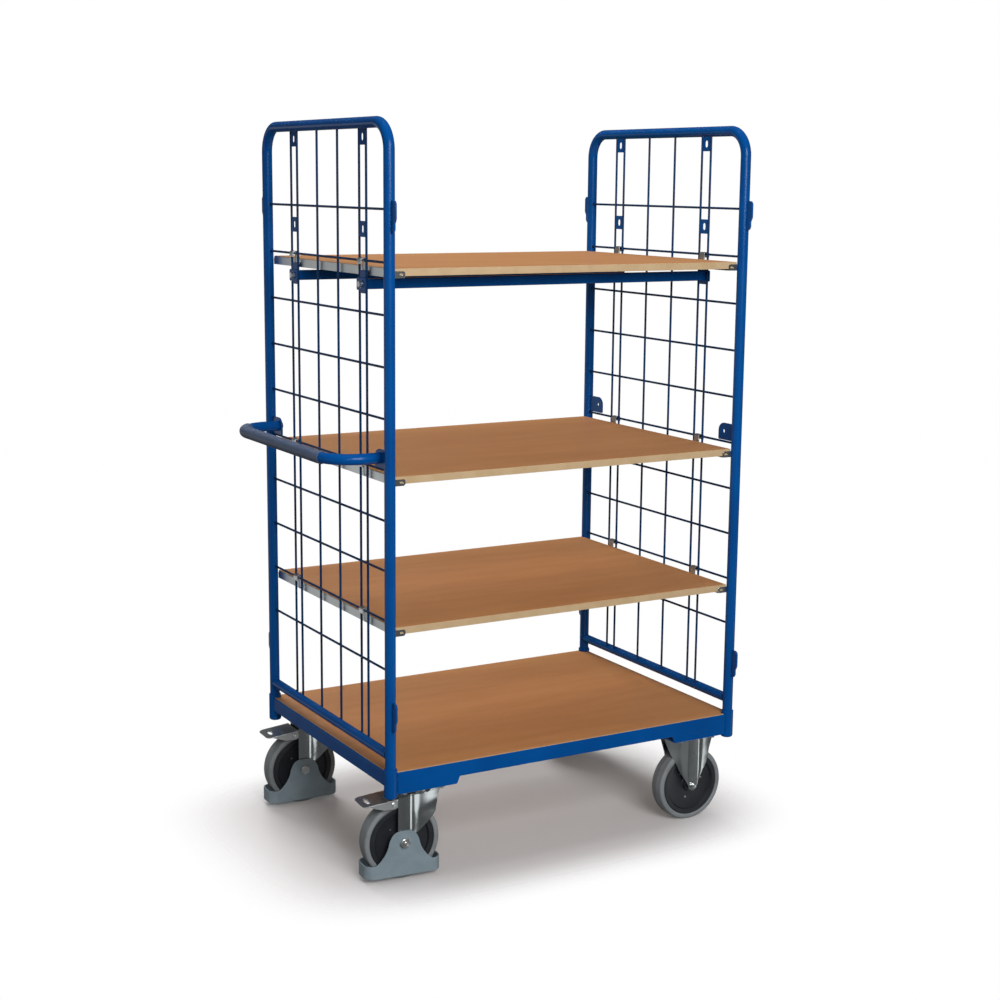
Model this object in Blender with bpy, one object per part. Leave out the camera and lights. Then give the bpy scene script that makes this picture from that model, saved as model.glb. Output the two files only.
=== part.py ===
"""Parcel trolley: a steel base on four castors, two wire-panel ends and three hooked-in shelves.

The person who pushes stands at the handle end, on the -X side, and looks along +X, so left is +Y.
Every length is in metres. Z is up and the wheels stand on Z = 0.
"""

from math import cos, pi, radians, sin, sqrt

import bmesh
import bpy
from mathutils import Matrix, Vector

# Clearance between pieces that touch, the overrun of every cut, and the depth of every weld
GAP = 0.0003
OVERRUN = 0.001
WELD = 0.0005

# Loading area between the tubes, and the whole height
LOADING_LENGTH = 1.000
LOADING_WIDTH = 0.700
OVERALL_HEIGHT = 1.870

# End frame tube
TUBE_DIAMETER = 0.027
TUBE_WALL = 0.002
TOP_BEND_RADIUS = 0.065

# Wheels and castors
WHEEL_DIAMETER = 0.200
TYRE_WIDTH = 0.046
TYRE_SECTION = 0.0135
CASTOR_HEADROOM = 0.040
CASTOR_INSET_X = 0.0955
CASTOR_INSET_Y = 0.0515
CASTOR_TRAIL = 0.045
CASTOR_TURN_DEGREES = {"left": -2.0, "right": -5.0}
CASTOR_PLATE_LENGTH = 0.135
CASTOR_PLATE_WIDTH = 0.105
CASTOR_PLATE_THICKNESS = 0.004
CASTOR_PLATE_CORNER = 0.012
CASTOR_BOLT_SPACING_X = 0.105
CASTOR_BOLT_SPACING_Y = 0.084
CASTOR_BOLT_RADIUS = 0.004
CASTOR_BOLT_HEAD_RADIUS = 0.007
CASTOR_BOLT_HEAD_HEIGHT = 0.005
AXLE_RADIUS = 0.006
AXLE_NUT_RADIUS = 0.0135
AXLE_NUT_HEIGHT = 0.008
AXLE_HEAD_RADIUS = 0.0085
AXLE_HEAD_HEIGHT = 0.005
BUSH_WALL = 0.003

# Swivel castor fork
RACE_RADIUS = 0.036
RACE_HEIGHT = 0.0145
RACE_WAIST_RADIUS = 0.030
KING_PIN_RADIUS = 0.010
FORK_WEB_THICKNESS = 0.0045
FORK_PLATE_THICKNESS = 0.003
FORK_HALF_WIDTH = 0.033
FORK_BACK_REACH = 0.015
FORK_FRONT_REACH = 0.064
FORK_EYE_RADIUS = 0.019
FORK_FLUTE_DEPTH = 0.0055

# Fixed castor bracket
BRACKET_HALF_LENGTH = 0.083

# Foot guard of a swivel castor
GUARD_HALF_LENGTH = 0.102
GUARD_HALF_WIDTH = 0.0375
GUARD_WALL = 0.003
GUARD_CLEARANCE_Z = 0.0135
GUARD_BAND_HEIGHT = 0.034
GUARD_CORNER_RADIUS = 0.026
GUARD_CROWN_RISE = 0.0305

# Brake pedal of a swivel castor
PEDAL_PIVOT_BACK = 0.030
PEDAL_PIVOT_DROP = 0.0132
PEDAL_LENGTH = 0.078
PEDAL_HALF_WIDTH = 0.0395
PEDAL_THICKNESS = 0.0025
PEDAL_RISE = 0.012
PEDAL_TIP_DROP = 0.010
PEDAL_FLANGE_DEPTH = 0.024
PEDAL_EYE_LENGTH = 0.030
PEDAL_EYE_WIDTH = 0.011
PEDAL_PIN_RADIUS = 0.0035
PEDAL_PIN_HEAD_RADIUS = 0.006
PEDAL_PIN_HEAD_HEIGHT = 0.0025
EAR_RADIUS = 0.007

# Base frame
MOUNT_PLATE_THICKNESS = 0.005
MOUNT_PLATE_LENGTH = 0.191
MOUNT_PLATE_WIDTH = 0.128
MOUNT_HEIGHT = 0.018
MOUNT_END_SLANT = 0.0085
RAIL_HEIGHT = 0.037
RAIL_WALL = 0.004
RAIL_OFFSET = 0.0065
LEDGE_WIDTH = 0.018
LEDGE_THICKNESS = 0.003
SOCKET_WALL = 0.0027
SOCKET_FLOOR = 0.004
SOCKET_DROP = 0.010
SOCKET_RISE = 0.009
SOCKET_ROUNDING = 0.006
BOARD_THICKNESS = 0.018
DECK_PROUD = 0.0013

# Wire panels
WIRE_DIAMETER = 0.006
ROW_COUNT = 10
LOWEST_ROW_RISE = 0.2107
TOP_ROW_DROP = 0.1991
ROW_INSET = 0.003
PAIR_OFFSET_Y = 0.2045
PAIR_SPACING = 0.0385
SINGLE_OFFSET_Y = 0.061
BOTTOM_TUBE_DIAMETER = 0.025
BOTTOM_TUBE_WALL = 0.002
BOTTOM_TUBE_RISE = 0.041

# Plates welded to the panels and posts
SLOT_PLATE_HEIGHT = 0.038
SLOT_PLATE_THICKNESS = 0.003
SLOT_HOLE_HEIGHT = 0.014
SLOT_HOLE_WIDTH = 0.009
LOWER_SLOT_PLATE_DROP = 0.0495
SIDE_TAB_HEIGHT = 0.074
SIDE_TAB_REACH = 0.022
SIDE_TAB_THICKNESS = 0.005
SIDE_TAB_TOP_CUT = 0.005
SIDE_TAB_BOTTOM_CUT = 0.012
UPPER_TAB_DROP = 0.0165
LOWER_TAB_RISE = 0.136
LUG_ROW = 4
LUG_THICKNESS = 0.005
LUG_HOLE_INSET = 0.0545
LUG_HOLE_RISE = 0.0235
LUG_HOLE_RADIUS = 0.0055
LUG_EAR_RADIUS = 0.022

# Push handle
HANDLE_REACH = 0.1235
HANDLE_BEND_RADIUS = 0.085
GRIP_WALL = 0.002
GRIP_END_Y = 0.190
FRAME_BOLT_RADIUS = 0.005
FRAME_BOLT_HEAD_RADIUS = 0.009
FRAME_BOLT_HEAD_HEIGHT = 0.006
FRAME_BOLT_GRIP = 0.020

# Hooked-in shelves: the row that each one hangs on, counted from the bottom
SHELF_ROWS = {"upper": 8, "middle": 4, "lower": 1}
SHELF_DROP = 0.0133
SHELF_OVERHANG = 0.010
END_RAIL_SHEET = 0.0015
END_RAIL_FLOOR = 0.004
END_RAIL_DEPTH = 0.028
END_RAIL_TOP_SETBACK = 0.001
END_RAIL_TAB_SETBACK = 0.006
HOOK_SHEET = 0.0025
HOOK_WIDTH = 0.022
HOOK_TAIL = 0.009
HOOK_FOOT = 0.016

# Stay bars under the upper shelf
STAY_BAR_SIZE = 0.025
STAY_BAR_WALL = 0.002
STAY_BAR_CLEARANCE = 0.009
STAY_PLATE_THICKNESS = 0.003
STAY_PLATE_RISE = 0.020
STAY_PLATE_DROP = 0.010
CLAMP_THICKNESS = 0.003
CLAMP_WIDTH = 0.048
CLAMP_HEIGHT = 0.030

# Facets
TUBE_SIDES = 12
WIRE_SIDES = 6
BOLT_SIDES = 6
HOLE_SIDES = 8
WHEEL_SIDES = 24
RACE_SIDES = 16
BUSH_SIDES = 8
BEND_STEPS = 4
GRIP_BEND_STEPS = 2
ARC_STEPS = 4

# Shapes as shares of the sizes that carry them
TYRE_PROFILE_SHARES = ((0.0, -0.5), (0.7, -0.5), (1.0, -0.32), (1.0, 0.32), (0.7, 0.5), (0.0, 0.5))
CENTRE_RADIUS_SHARES = (0.24, 0.28, 0.82, 1.0)
CENTRE_WIDTH_SHARES = (0.50, 0.21, 0.21, 0.42)
LEG_LEVEL_SHARES = (0.0, 0.06, 0.15, 0.30, 0.55, 0.85, 1.0)
SWIVEL_BACK_SHARES = (0.35, 0.75, 1.0, 1.0, 0.94, 0.90, 0.90)
SWIVEL_FRONT_SHARES = (0.07, 0.15, 0.22, 0.42, 0.72, 0.98, 1.0)
FIXED_SIDE_SHARES = (0.10, 0.19, 0.25, 0.40, 0.66, 0.90, 1.0)
FLUTE_SHARES = (0.0, 0.7, 1.0)
ROUNDED_END_SHARE = 0.47
SOCKET_CORNER_SHARE = 0.3
PEDAL_FLANGE_SHARE = 0.8
NOTCH_DEGREES = (170, 190, 210, 230, 250, 270)
BELL_RISE_SHARES = (0.0, 0.10, 0.28, 0.46, 0.63, 0.77, 0.90, 1.0)
BELL_REACH_SHARES = (0.76, 0.637, 0.52, 0.441, 0.402, 0.359, 0.294, 0.176)

# Derived places
TUBE_RADIUS = TUBE_DIAMETER / 2
WIRE_RADIUS = WIRE_DIAMETER / 2
WIRE_CORNER = WIRE_RADIUS / cos(pi / WIRE_SIDES)
WHEEL_RADIUS = WHEEL_DIAMETER / 2
CASTOR_HEIGHT = WHEEL_DIAMETER + CASTOR_HEADROOM
FORK_WEB_TOP = CASTOR_HEIGHT - CASTOR_PLATE_THICKNESS - GAP - RACE_HEIGHT + WELD
FORK_WEB_BOTTOM = FORK_WEB_TOP - FORK_WEB_THICKNESS
PEDAL_PIVOT_Z = FORK_WEB_BOTTOM - PEDAL_PIVOT_DROP
POST_X = LOADING_LENGTH / 2 + TUBE_RADIUS
POST_Y = LOADING_WIDTH / 2 + TUBE_RADIUS
SOCKET_RADIUS = TUBE_RADIUS + GAP + SOCKET_WALL
CASTOR_X = POST_X - CASTOR_INSET_X
CASTOR_Y = POST_Y - CASTOR_INSET_Y
MOUNT_PLATE_Z = CASTOR_HEIGHT + GAP
RAIL_BOTTOM = MOUNT_PLATE_Z + MOUNT_HEIGHT + GAP
RAIL_TOP = RAIL_BOTTOM + RAIL_HEIGHT
RAIL_OUTER_X = POST_X + RAIL_OFFSET + RAIL_WALL
RAIL_OUTER_Y = POST_Y + RAIL_OFFSET + RAIL_WALL
DECK_TOP = RAIL_TOP + DECK_PROUD
LEDGE_TOP = DECK_TOP - BOARD_THICKNESS - GAP
SOCKET_BOTTOM = CASTOR_HEIGHT - SOCKET_DROP
SOCKET_TOP = RAIL_TOP + SOCKET_RISE
POST_BOTTOM = SOCKET_BOTTOM + SOCKET_FLOOR + GAP
TOP_TUBE_Z = OVERALL_HEIGHT - TUBE_RADIUS
BEND_START_Z = TOP_TUBE_Z - TOP_BEND_RADIUS
BOTTOM_TUBE_Z = DECK_TOP + BOTTOM_TUBE_RISE
LOWEST_ROW_Z = BOTTOM_TUBE_Z + LOWEST_ROW_RISE
ROW_PITCH = (TOP_TUBE_Z - TOP_ROW_DROP - LOWEST_ROW_Z) / (ROW_COUNT - 1)
ROW_X = POST_X - ROW_INSET
COLUMN_X = ROW_X - WIRE_DIAMETER + WELD
LUG_HOLE_Y = POST_Y - LUG_HOLE_INSET
SHELF_END_X = COLUMN_X - WIRE_RADIUS - HOOK_SHEET - 2 * GAP
HANDLE_X = POST_X + HANDLE_REACH
GRIP_RADIUS = TUBE_RADIUS + GAP + GRIP_WALL
CENTRE_X = (HANDLE_X + GRIP_RADIUS - POST_X - SOCKET_RADIUS) / 2

ENDS = {"handle_end": -1, "front_end": 1}
SIDES = {"left": 1, "right": -1}


def row_height(row):
    """Height of a horizontal wire, counted from 0 at the bottom."""
    return LOWEST_ROW_Z + row * ROW_PITCH


def column_places():
    """Places across the trolley of the upright wires: a pair, two single ones and a pair."""
    half = PAIR_SPACING / 2
    pairs = [side * PAIR_OFFSET_Y + step for side in (-1, 1) for step in (-half, half)]
    return sorted(pairs + [-SINGLE_OFFSET_Y, SINGLE_OFFSET_Y])


# Scene, finishes and publishing


def clear_scene():
    """Remove every object that the file starts with."""
    for item in list(bpy.data.objects):
        bpy.data.objects.remove(item, do_unlink=True)


def make_finish(name, colour, roughness, metallic):
    """One Principled material."""
    finish = bpy.data.materials.new(name)
    finish.use_nodes = True
    shader = finish.node_tree.nodes["Principled BSDF"]
    shader.inputs["Base Color"].default_value = (*colour, 1.0)
    shader.inputs["Roughness"].default_value = roughness
    shader.inputs["Metallic"].default_value = metallic
    return finish


FINISHES = {}


def make_finishes():
    """The trolley's finishes, by name."""
    FINISHES["blue_paint"] = make_finish("blue_paint", (0.004, 0.065, 0.29), 0.35, 0.0)
    FINISHES["beech_board"] = make_finish("beech_board", (0.40, 0.19, 0.085), 0.5, 0.0)
    FINISHES["zinc_steel"] = make_finish("zinc_steel", (0.50, 0.52, 0.52), 0.35, 1.0)
    FINISHES["grey_tyre"] = make_finish("grey_tyre", (0.19, 0.20, 0.205), 0.6, 0.0)
    FINISHES["black_plastic"] = make_finish("black_plastic", (0.012, 0.014, 0.017), 0.45, 0.0)
    FINISHES["grey_plastic"] = make_finish("grey_plastic", (0.17, 0.21, 0.24), 0.5, 0.0)
    FINISHES["grip_plastic"] = make_finish("grip_plastic", (0.085, 0.11, 0.17), 0.5, 0.0)


class Carrier:
    """An empty that carries pieces, with its place in the trolley's own coordinates.

    degrees turns it, with all that it carries, about its upright axis.
    """

    def __init__(self, name, place, parent=None, degrees=0.0):
        self.place = Vector(place)
        self.empty = bpy.data.objects.new(name, None)
        self.empty.rotation_euler.z = radians(degrees)
        bpy.context.collection.objects.link(self.empty)
        if parent is None:
            self.empty.location = self.place + Vector((CENTRE_X, 0, 0))
        else:
            self.empty.parent = parent.empty
            self.empty.location = self.place - parent.place


def publish(shape, name, finish, carrier, guide=False):
    """Turn a bmesh in trolley coordinates into a named object on its carrier."""
    bmesh.ops.remove_doubles(shape, verts=shape.verts, dist=GAP / 100)
    bmesh.ops.recalc_face_normals(shape, faces=shape.faces)
    bmesh.ops.translate(shape, verts=shape.verts, vec=-carrier.place)
    mesh = bpy.data.meshes.new(name)
    shape.to_mesh(mesh)
    shape.free()
    mesh.materials.append(FINISHES[finish])
    mesh.shade_smooth()
    mesh.set_sharp_from_angle(angle=radians(35))
    piece = bpy.data.objects.new(name, mesh)
    bpy.context.collection.objects.link(piece)
    piece.parent = carrier.empty
    if guide:
        piece.hide_render = True
        piece.display_type = "WIRE"
    return piece


def combine(piece, guide, operation):
    """Add an exact Boolean to a piece."""
    step = piece.modifiers.new(guide.name, "BOOLEAN")
    step.operation = operation
    step.solver = "EXACT"
    step.object = guide


def weld_on(piece, shape, name, carrier):
    """Join a shape, drawn in trolley coordinates, to a finished piece."""
    finish = piece.data.materials[0].name
    added = publish(shape, f"{piece.name}_{name}", finish, carrier, guide=True)
    combine(piece, added, "UNION")
    return added


# Shapes


def add_box(shape, low, high):
    """A box between two corners, given in any order."""
    low, high = Vector(low), Vector(high)
    size = high - low
    matrix = Matrix.Translation((low + high) / 2) @ Matrix.Diagonal((*map(abs, size), 1))
    bmesh.ops.create_cube(shape, size=1, matrix=matrix)


def add_rod(shape, start, end, radius, sides):
    """A solid round bar between two points, with flats of its facets towards both ends of the trolley."""
    start, end = Vector(start), Vector(end)
    turn = (end - start).to_track_quat("Z", "Y").to_matrix().to_4x4()
    turn = turn @ Matrix.Rotation(pi / sides - pi / 2, 4, "Z")
    corner = radius / cos(pi / sides)
    bmesh.ops.create_cone(
        shape, cap_ends=True, segments=sides, radius1=corner, radius2=corner,
        depth=(end - start).length, matrix=Matrix.Translation((start + end) / 2) @ turn,
    )


class TubeBender:
    """Draws a hollow round tube along straight runs and bends."""

    def __init__(self, shape, start, heading, radius, bore, sides=TUBE_SIDES):
        self.shape = shape
        self.place = Vector(start)
        self.heading = Vector(heading)
        turn = self.heading.to_track_quat("Z", "Y").to_matrix().to_4x4()
        matrix = Matrix.Translation(self.place) @ turn
        edges = []
        for size in (radius, bore):
            ring = bmesh.ops.create_circle(shape, segments=sides, radius=size, matrix=matrix)
            edges += list({edge for vert in ring["verts"] for edge in vert.link_edges})
        self.faces = bmesh.ops.bridge_loops(shape, edges=edges)["faces"]
        self.closed = False

    def move_end(self, grown):
        """Take the grown faces as the tube's end, and clear what would be left inside it."""
        if self.closed:
            inner = [face for face in self.faces if face.is_valid]
            bmesh.ops.delete(self.shape, geom=inner, context="FACES_KEEP_BOUNDARY")
        self.closed = True
        self.faces = [item for item in grown if isinstance(item, bmesh.types.BMFace)]

    def straight(self, length):
        """Run on for a length."""
        grown = bmesh.ops.extrude_face_region(self.shape, geom=self.faces)["geom"]
        verts = [item for item in grown if isinstance(item, bmesh.types.BMVert)]
        bmesh.ops.translate(self.shape, verts=verts, vec=self.heading * length)
        self.move_end(grown)
        self.place = self.place + self.heading * length
        return self

    def bend(self, degrees, bend_radius, towards, steps=BEND_STEPS):
        """Turn towards a direction that is square to the heading."""
        towards = Vector(towards)
        centre = self.place + towards * bend_radius
        axis = self.heading.cross(towards)
        grown = bmesh.ops.spin(
            self.shape, geom=self.faces, cent=centre, axis=axis,
            angle=radians(degrees), steps=steps, use_duplicate=False,
        )["geom_last"]
        self.move_end(grown)
        turn = Matrix.Rotation(radians(degrees), 3, axis)
        self.place = centre + turn @ (self.place - centre)
        self.heading = turn @ self.heading
        return self


def add_plate(shape, outline, origin, across, up, thickness, holes=()):
    """A flat plate: an outline in (across, up) coordinates, drawn out along across x up."""
    origin, across, up = Vector(origin), Vector(across), Vector(up)
    edges = []
    for loop in (outline, *holes):
        verts = [shape.verts.new(origin + across * u + up * v) for u, v in loop]
        edges += [shape.edges.new((verts[i - 1], verts[i])) for i in range(len(verts))]
    filled = bmesh.ops.triangle_fill(shape, edges=edges, use_beauty=True, normal=across.cross(up))
    faces = [item for item in filled["geom"] if isinstance(item, bmesh.types.BMFace)]
    grown = bmesh.ops.extrude_face_region(shape, geom=faces)["geom"]
    moved = [item for item in grown if isinstance(item, bmesh.types.BMVert)]
    bmesh.ops.translate(shape, verts=moved, vec=across.cross(up) * thickness)


def add_turned(shape, profile, centre, axis, sides, flat_down=False):
    """A turned body: (radius, place along the axis) points, spun round an axis through centre.

    The profile is closed, or both of its ends lie on the axis. With flat_down a flat of the
    facets, not a corner, touches the stated radius.
    """
    centre, axis = Vector(centre), Vector(axis)
    out = Vector((1, 0, 0)) if abs(axis.z) > 0.5 else Vector((0, 0, -1))
    grow = 1.0
    if flat_down:
        out = Matrix.Rotation(pi / sides, 3, axis) @ out
        grow = 1 / cos(pi / sides)
    verts = [shape.verts.new(centre + out * (r * grow) + axis * along) for r, along in profile]
    edges = [shape.edges.new(pair) for pair in zip(verts, verts[1:])]
    if profile[0][0] > 0:
        edges.append(shape.edges.new((verts[-1], verts[0])))
    bmesh.ops.spin(
        shape, geom=verts + edges, cent=centre, axis=axis, angle=2 * pi,
        steps=sides, use_merge=True, use_duplicate=False,
    )


def arc(centre_u, centre_v, radius, start, stop, steps=ARC_STEPS):
    """Points on an arc between two angles in degrees."""
    angles = [radians(start + (stop - start) * i / steps) for i in range(steps + 1)]
    return [(centre_u + radius * cos(a), centre_v + radius * sin(a)) for a in angles]


def rounded_rectangle(half_u, half_v, radius, steps=2):
    """A rectangle about the origin with round corners."""
    u, v = half_u - radius, half_v - radius
    points = arc(u, v, radius, 0, 90, steps) + arc(-u, v, radius, 90, 180, steps)
    return points + arc(-u, -v, radius, 180, 270, steps) + arc(u, -v, radius, 270, 360, steps)


def shifted(points, move_u, move_v):
    """An outline moved in its own plane."""
    return [(u + move_u, v + move_v) for u, v in points]


def circle(radius, centre_u=0.0, centre_v=0.0, sides=HOLE_SIDES):
    """A round hole's outline, whose flats touch the radius."""
    return arc(centre_u, centre_v, radius / cos(pi / sides), 0, 360, sides)[:-1]


# Base frame


def build_base_rails(root):
    """Four upright strips with a ledge inside, which carry the deck board."""
    ledge = [
        (0, RAIL_BOTTOM), (0, RAIL_TOP), (RAIL_WALL, RAIL_TOP), (RAIL_WALL, LEDGE_TOP),
        (RAIL_WALL + LEDGE_WIDTH, LEDGE_TOP), (RAIL_WALL + LEDGE_WIDTH, LEDGE_TOP - LEDGE_THICKNESS),
        (RAIL_WALL, LEDGE_TOP - LEDGE_THICKNESS), (RAIL_WALL, RAIL_BOTTOM),
    ]
    half_x = POST_X - SOCKET_RADIUS - GAP
    half_y = POST_Y - SOCKET_RADIUS - GAP
    for side, sign in SIDES.items():
        shape = bmesh.new()
        origin = (-half_x, sign * RAIL_OUTER_Y, 0)
        add_plate(shape, ledge, origin, (0, -sign, 0), (0, 0, 1), -sign * 2 * half_x)
        publish(shape, f"base_rail_{side}", "blue_paint", root)
    for end, sign in ENDS.items():
        shape = bmesh.new()
        origin = (sign * RAIL_OUTER_X, -half_y, 0)
        add_plate(shape, ledge, origin, (-sign, 0, 0), (0, 0, 1), sign * 2 * half_y)
        publish(shape, f"base_rail_{end}", "blue_paint", root)


def build_corner_sockets(root):
    """Cups at the corners of the base that hold the posts."""
    bore = TUBE_RADIUS + GAP
    corner = SOCKET_ROUNDING * SOCKET_CORNER_SHARE
    profile = [
        (0, SOCKET_BOTTOM), (SOCKET_RADIUS - SOCKET_ROUNDING, SOCKET_BOTTOM),
        (SOCKET_RADIUS - corner, SOCKET_BOTTOM + corner),
        (SOCKET_RADIUS, SOCKET_BOTTOM + SOCKET_ROUNDING), (SOCKET_RADIUS, SOCKET_TOP),
        (bore, SOCKET_TOP), (bore, SOCKET_BOTTOM + SOCKET_FLOOR), (0, SOCKET_BOTTOM + SOCKET_FLOOR),
    ]
    for end, sx in ENDS.items():
        for side, sy in SIDES.items():
            shape = bmesh.new()
            add_turned(shape, profile, (sx * POST_X, sy * POST_Y, 0), (0, 0, 1), TUBE_SIDES)
            publish(shape, f"{end}_socket_{side}", "blue_paint", root)


def build_deck_board(root):
    """The deck, flush with the rails and cut out round the corner sockets."""
    half_x = RAIL_OUTER_X - RAIL_WALL - GAP
    half_y = RAIL_OUTER_Y - RAIL_WALL - GAP
    notch = SOCKET_RADIUS + 2 * GAP
    at_side = sqrt(notch ** 2 - (half_y - POST_Y) ** 2)
    at_end = sqrt(notch ** 2 - (half_x - POST_X) ** 2)
    corner = [(POST_X - at_side, half_y)]
    angles = [radians(degrees) for degrees in NOTCH_DEGREES]
    corner += [(POST_X + notch * cos(angle), POST_Y + notch * sin(angle)) for angle in angles]
    corner += [(half_x, POST_Y - at_end)]
    outline = corner + [(u, -v) for u, v in reversed(corner)]
    outline += [(-u, -v) for u, v in corner] + [(-u, v) for u, v in reversed(corner)]
    shape = bmesh.new()
    add_plate(shape, outline, (0, 0, DECK_TOP - BOARD_THICKNESS), (1, 0, 0), (0, 1, 0), BOARD_THICKNESS)
    publish(shape, "deck_board", "beech_board", root)


def castor_bolt_places():
    """Places of the four bolts about a castor plate's centre."""
    half_x, half_y = CASTOR_BOLT_SPACING_X / 2, CASTOR_BOLT_SPACING_Y / 2
    return [(x, y) for x in (-half_x, half_x) for y in (-half_y, half_y)]


def build_castor_mounts(root):
    """A plate inside each corner of the base with a flange up to the rail; a castor is bolted to it."""
    start = POST_X - SOCKET_RADIUS - GAP - RAIL_OUTER_X
    outline = [
        (-MOUNT_PLATE_LENGTH, -MOUNT_PLATE_WIDTH), (start, -MOUNT_PLATE_WIDTH), (start, 0),
        (-MOUNT_PLATE_LENGTH, 0),
    ]
    flange_foot = MOUNT_PLATE_THICKNESS - OVERRUN
    foot_end = MOUNT_PLATE_LENGTH + MOUNT_END_SLANT * flange_foot / MOUNT_HEIGHT
    flange = [
        (start, flange_foot), (start, MOUNT_HEIGHT), (-MOUNT_PLATE_LENGTH - MOUNT_END_SLANT, MOUNT_HEIGHT),
        (-foot_end, flange_foot),
    ]
    castor_u = CASTOR_X - RAIL_OUTER_X
    castor_v = CASTOR_Y - RAIL_OUTER_Y
    holes = [circle(CASTOR_BOLT_RADIUS + GAP, castor_u + x, castor_v + y) for x, y in castor_bolt_places()]
    holes.append(circle(KING_PIN_RADIUS + 2 * GAP, castor_u, castor_v))
    for end, sx in ENDS.items():
        for side, sy in SIDES.items():
            corner = (sx * RAIL_OUTER_X, sy * RAIL_OUTER_Y, MOUNT_PLATE_Z)
            shape = bmesh.new()
            add_plate(shape, outline, corner, (sx, 0, 0), (0, sy, 0), sx * sy * MOUNT_PLATE_THICKNESS, holes)
            mount = publish(shape, f"{end}_castor_mount_{side}", "blue_paint", root)
            shape = bmesh.new()
            add_plate(shape, flange, corner, (sx, 0, 0), (0, 0, 1), sx * sy * RAIL_WALL)
            weld_on(mount, shape, "flange", root)


# End frames


def build_posts(root, end, sign):
    """The two posts of one end, each with its lug and its two side tabs."""
    for side, way in SIDES.items():
        x, y = sign * POST_X, way * POST_Y
        shape = bmesh.new()
        tube = TubeBender(shape, (x, y, POST_BOTTOM), (0, 0, 1), TUBE_RADIUS, TUBE_RADIUS - TUBE_WALL)
        tube.straight(BEND_START_Z - GAP - POST_BOTTOM)
        post = publish(shape, f"{end}_post_{side}", "blue_paint", root)

        half = SIDE_TAB_HEIGHT / 2
        tab = [
            (-WELD, -half), (SIDE_TAB_REACH - SIDE_TAB_BOTTOM_CUT, -half),
            (SIDE_TAB_REACH, -half + SIDE_TAB_BOTTOM_CUT), (SIDE_TAB_REACH, half - SIDE_TAB_TOP_CUT),
            (SIDE_TAB_REACH - SIDE_TAB_TOP_CUT, half), (-WELD, half),
        ]
        shape = bmesh.new()
        for z in (row_height(ROW_COUNT - 1) - UPPER_TAB_DROP, SOCKET_TOP + LOWER_TAB_RISE):
            origin = (x - way * SIDE_TAB_THICKNESS / 2, way * (POST_Y + TUBE_RADIUS), z)
            add_plate(shape, tab, origin, (0, way, 0), (0, 0, 1), SIDE_TAB_THICKNESS)
        inner = LUG_HOLE_INSET - TUBE_RADIUS + WELD
        lug = [(inner, -LUG_HOLE_RISE), (inner, LUG_EAR_RADIUS)]
        lug += arc(0, 0, LUG_EAR_RADIUS, 90, 180) + [(-LUG_EAR_RADIUS, -LUG_HOLE_RISE)]
        origin = (x - way * LUG_THICKNESS / 2, way * LUG_HOLE_Y, lug_hole_height())
        add_plate(shape, lug, origin, (0, way, 0), (0, 0, 1), LUG_THICKNESS, [circle(LUG_HOLE_RADIUS)])
        weld_on(post, shape, "plates", root)


def build_top_bar(root, end, sign):
    """The bent bar between the tops of the posts."""
    shape = bmesh.new()
    start = (sign * POST_X, -POST_Y, BEND_START_Z)
    tube = TubeBender(shape, start, (0, 0, 1), TUBE_RADIUS, TUBE_RADIUS - TUBE_WALL)
    tube.bend(90, TOP_BEND_RADIUS, (0, 1, 0))
    tube.straight(2 * (POST_Y - TOP_BEND_RADIUS))
    tube.bend(90, TOP_BEND_RADIUS, (0, 0, -1))
    publish(shape, f"{end}_top_bar", "blue_paint", root)


def build_wire_panel(root, end, sign):
    """The welded panel of one end: bottom tube, upright wires, rows of wires and slot plates."""
    half = POST_Y - TUBE_RADIUS - GAP
    radius = BOTTOM_TUBE_DIAMETER / 2
    shape = bmesh.new()
    start = (sign * POST_X, -half, BOTTOM_TUBE_Z)
    tube = TubeBender(shape, start, (0, 1, 0), radius, radius - BOTTOM_TUBE_WALL)
    tube.straight(2 * half)
    panel = publish(shape, f"{end}_wire_panel", "blue_paint", root)

    off_centre = POST_X - COLUMN_X
    foot = BOTTOM_TUBE_Z + sqrt((radius - BOTTOM_TUBE_WALL / 2) ** 2 - off_centre ** 2)
    head = TOP_TUBE_Z - sqrt((TUBE_RADIUS + GAP) ** 2 - (off_centre - WIRE_RADIUS) ** 2)
    shape = bmesh.new()
    for y in column_places():
        add_rod(shape, (sign * COLUMN_X, y, foot), (sign * COLUMN_X, y, head), WIRE_RADIUS, WIRE_SIDES)
    weld_on(panel, shape, "columns", root)
    shape = bmesh.new()
    for row in range(ROW_COUNT):
        z = row_height(row)
        add_rod(shape, (sign * ROW_X, -half, z), (sign * ROW_X, half, z), WIRE_RADIUS, WIRE_SIDES)
    weld_on(panel, shape, "rows", root)

    half_u = PAIR_SPACING / 2 - WIRE_RADIUS + WELD
    half_v = SLOT_PLATE_HEIGHT / 2
    outline = [(-half_u, -half_v), (half_u, -half_v), (half_u, half_v), (-half_u, half_v)]
    slot = rounded_rectangle(SLOT_HOLE_WIDTH / 2, SLOT_HOLE_HEIGHT / 2, SLOT_HOLE_WIDTH * ROUNDED_END_SHARE)
    shape = bmesh.new()
    for y in (-PAIR_OFFSET_Y, PAIR_OFFSET_Y):
        for z in (head - half_v, row_height(ROW_COUNT - 1) - LOWER_SLOT_PLATE_DROP):
            origin = (sign * COLUMN_X - SLOT_PLATE_THICKNESS / 2, y, z)
            add_plate(shape, outline, origin, (0, 1, 0), (0, 0, 1), SLOT_PLATE_THICKNESS, [slot])
    weld_on(panel, shape, "slot_plates", root)


def lug_hole_height():
    """Height of the lugs' holes, which is the handle's height too."""
    return row_height(LUG_ROW) + WIRE_CORNER + GAP + LUG_HOLE_RISE


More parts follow.
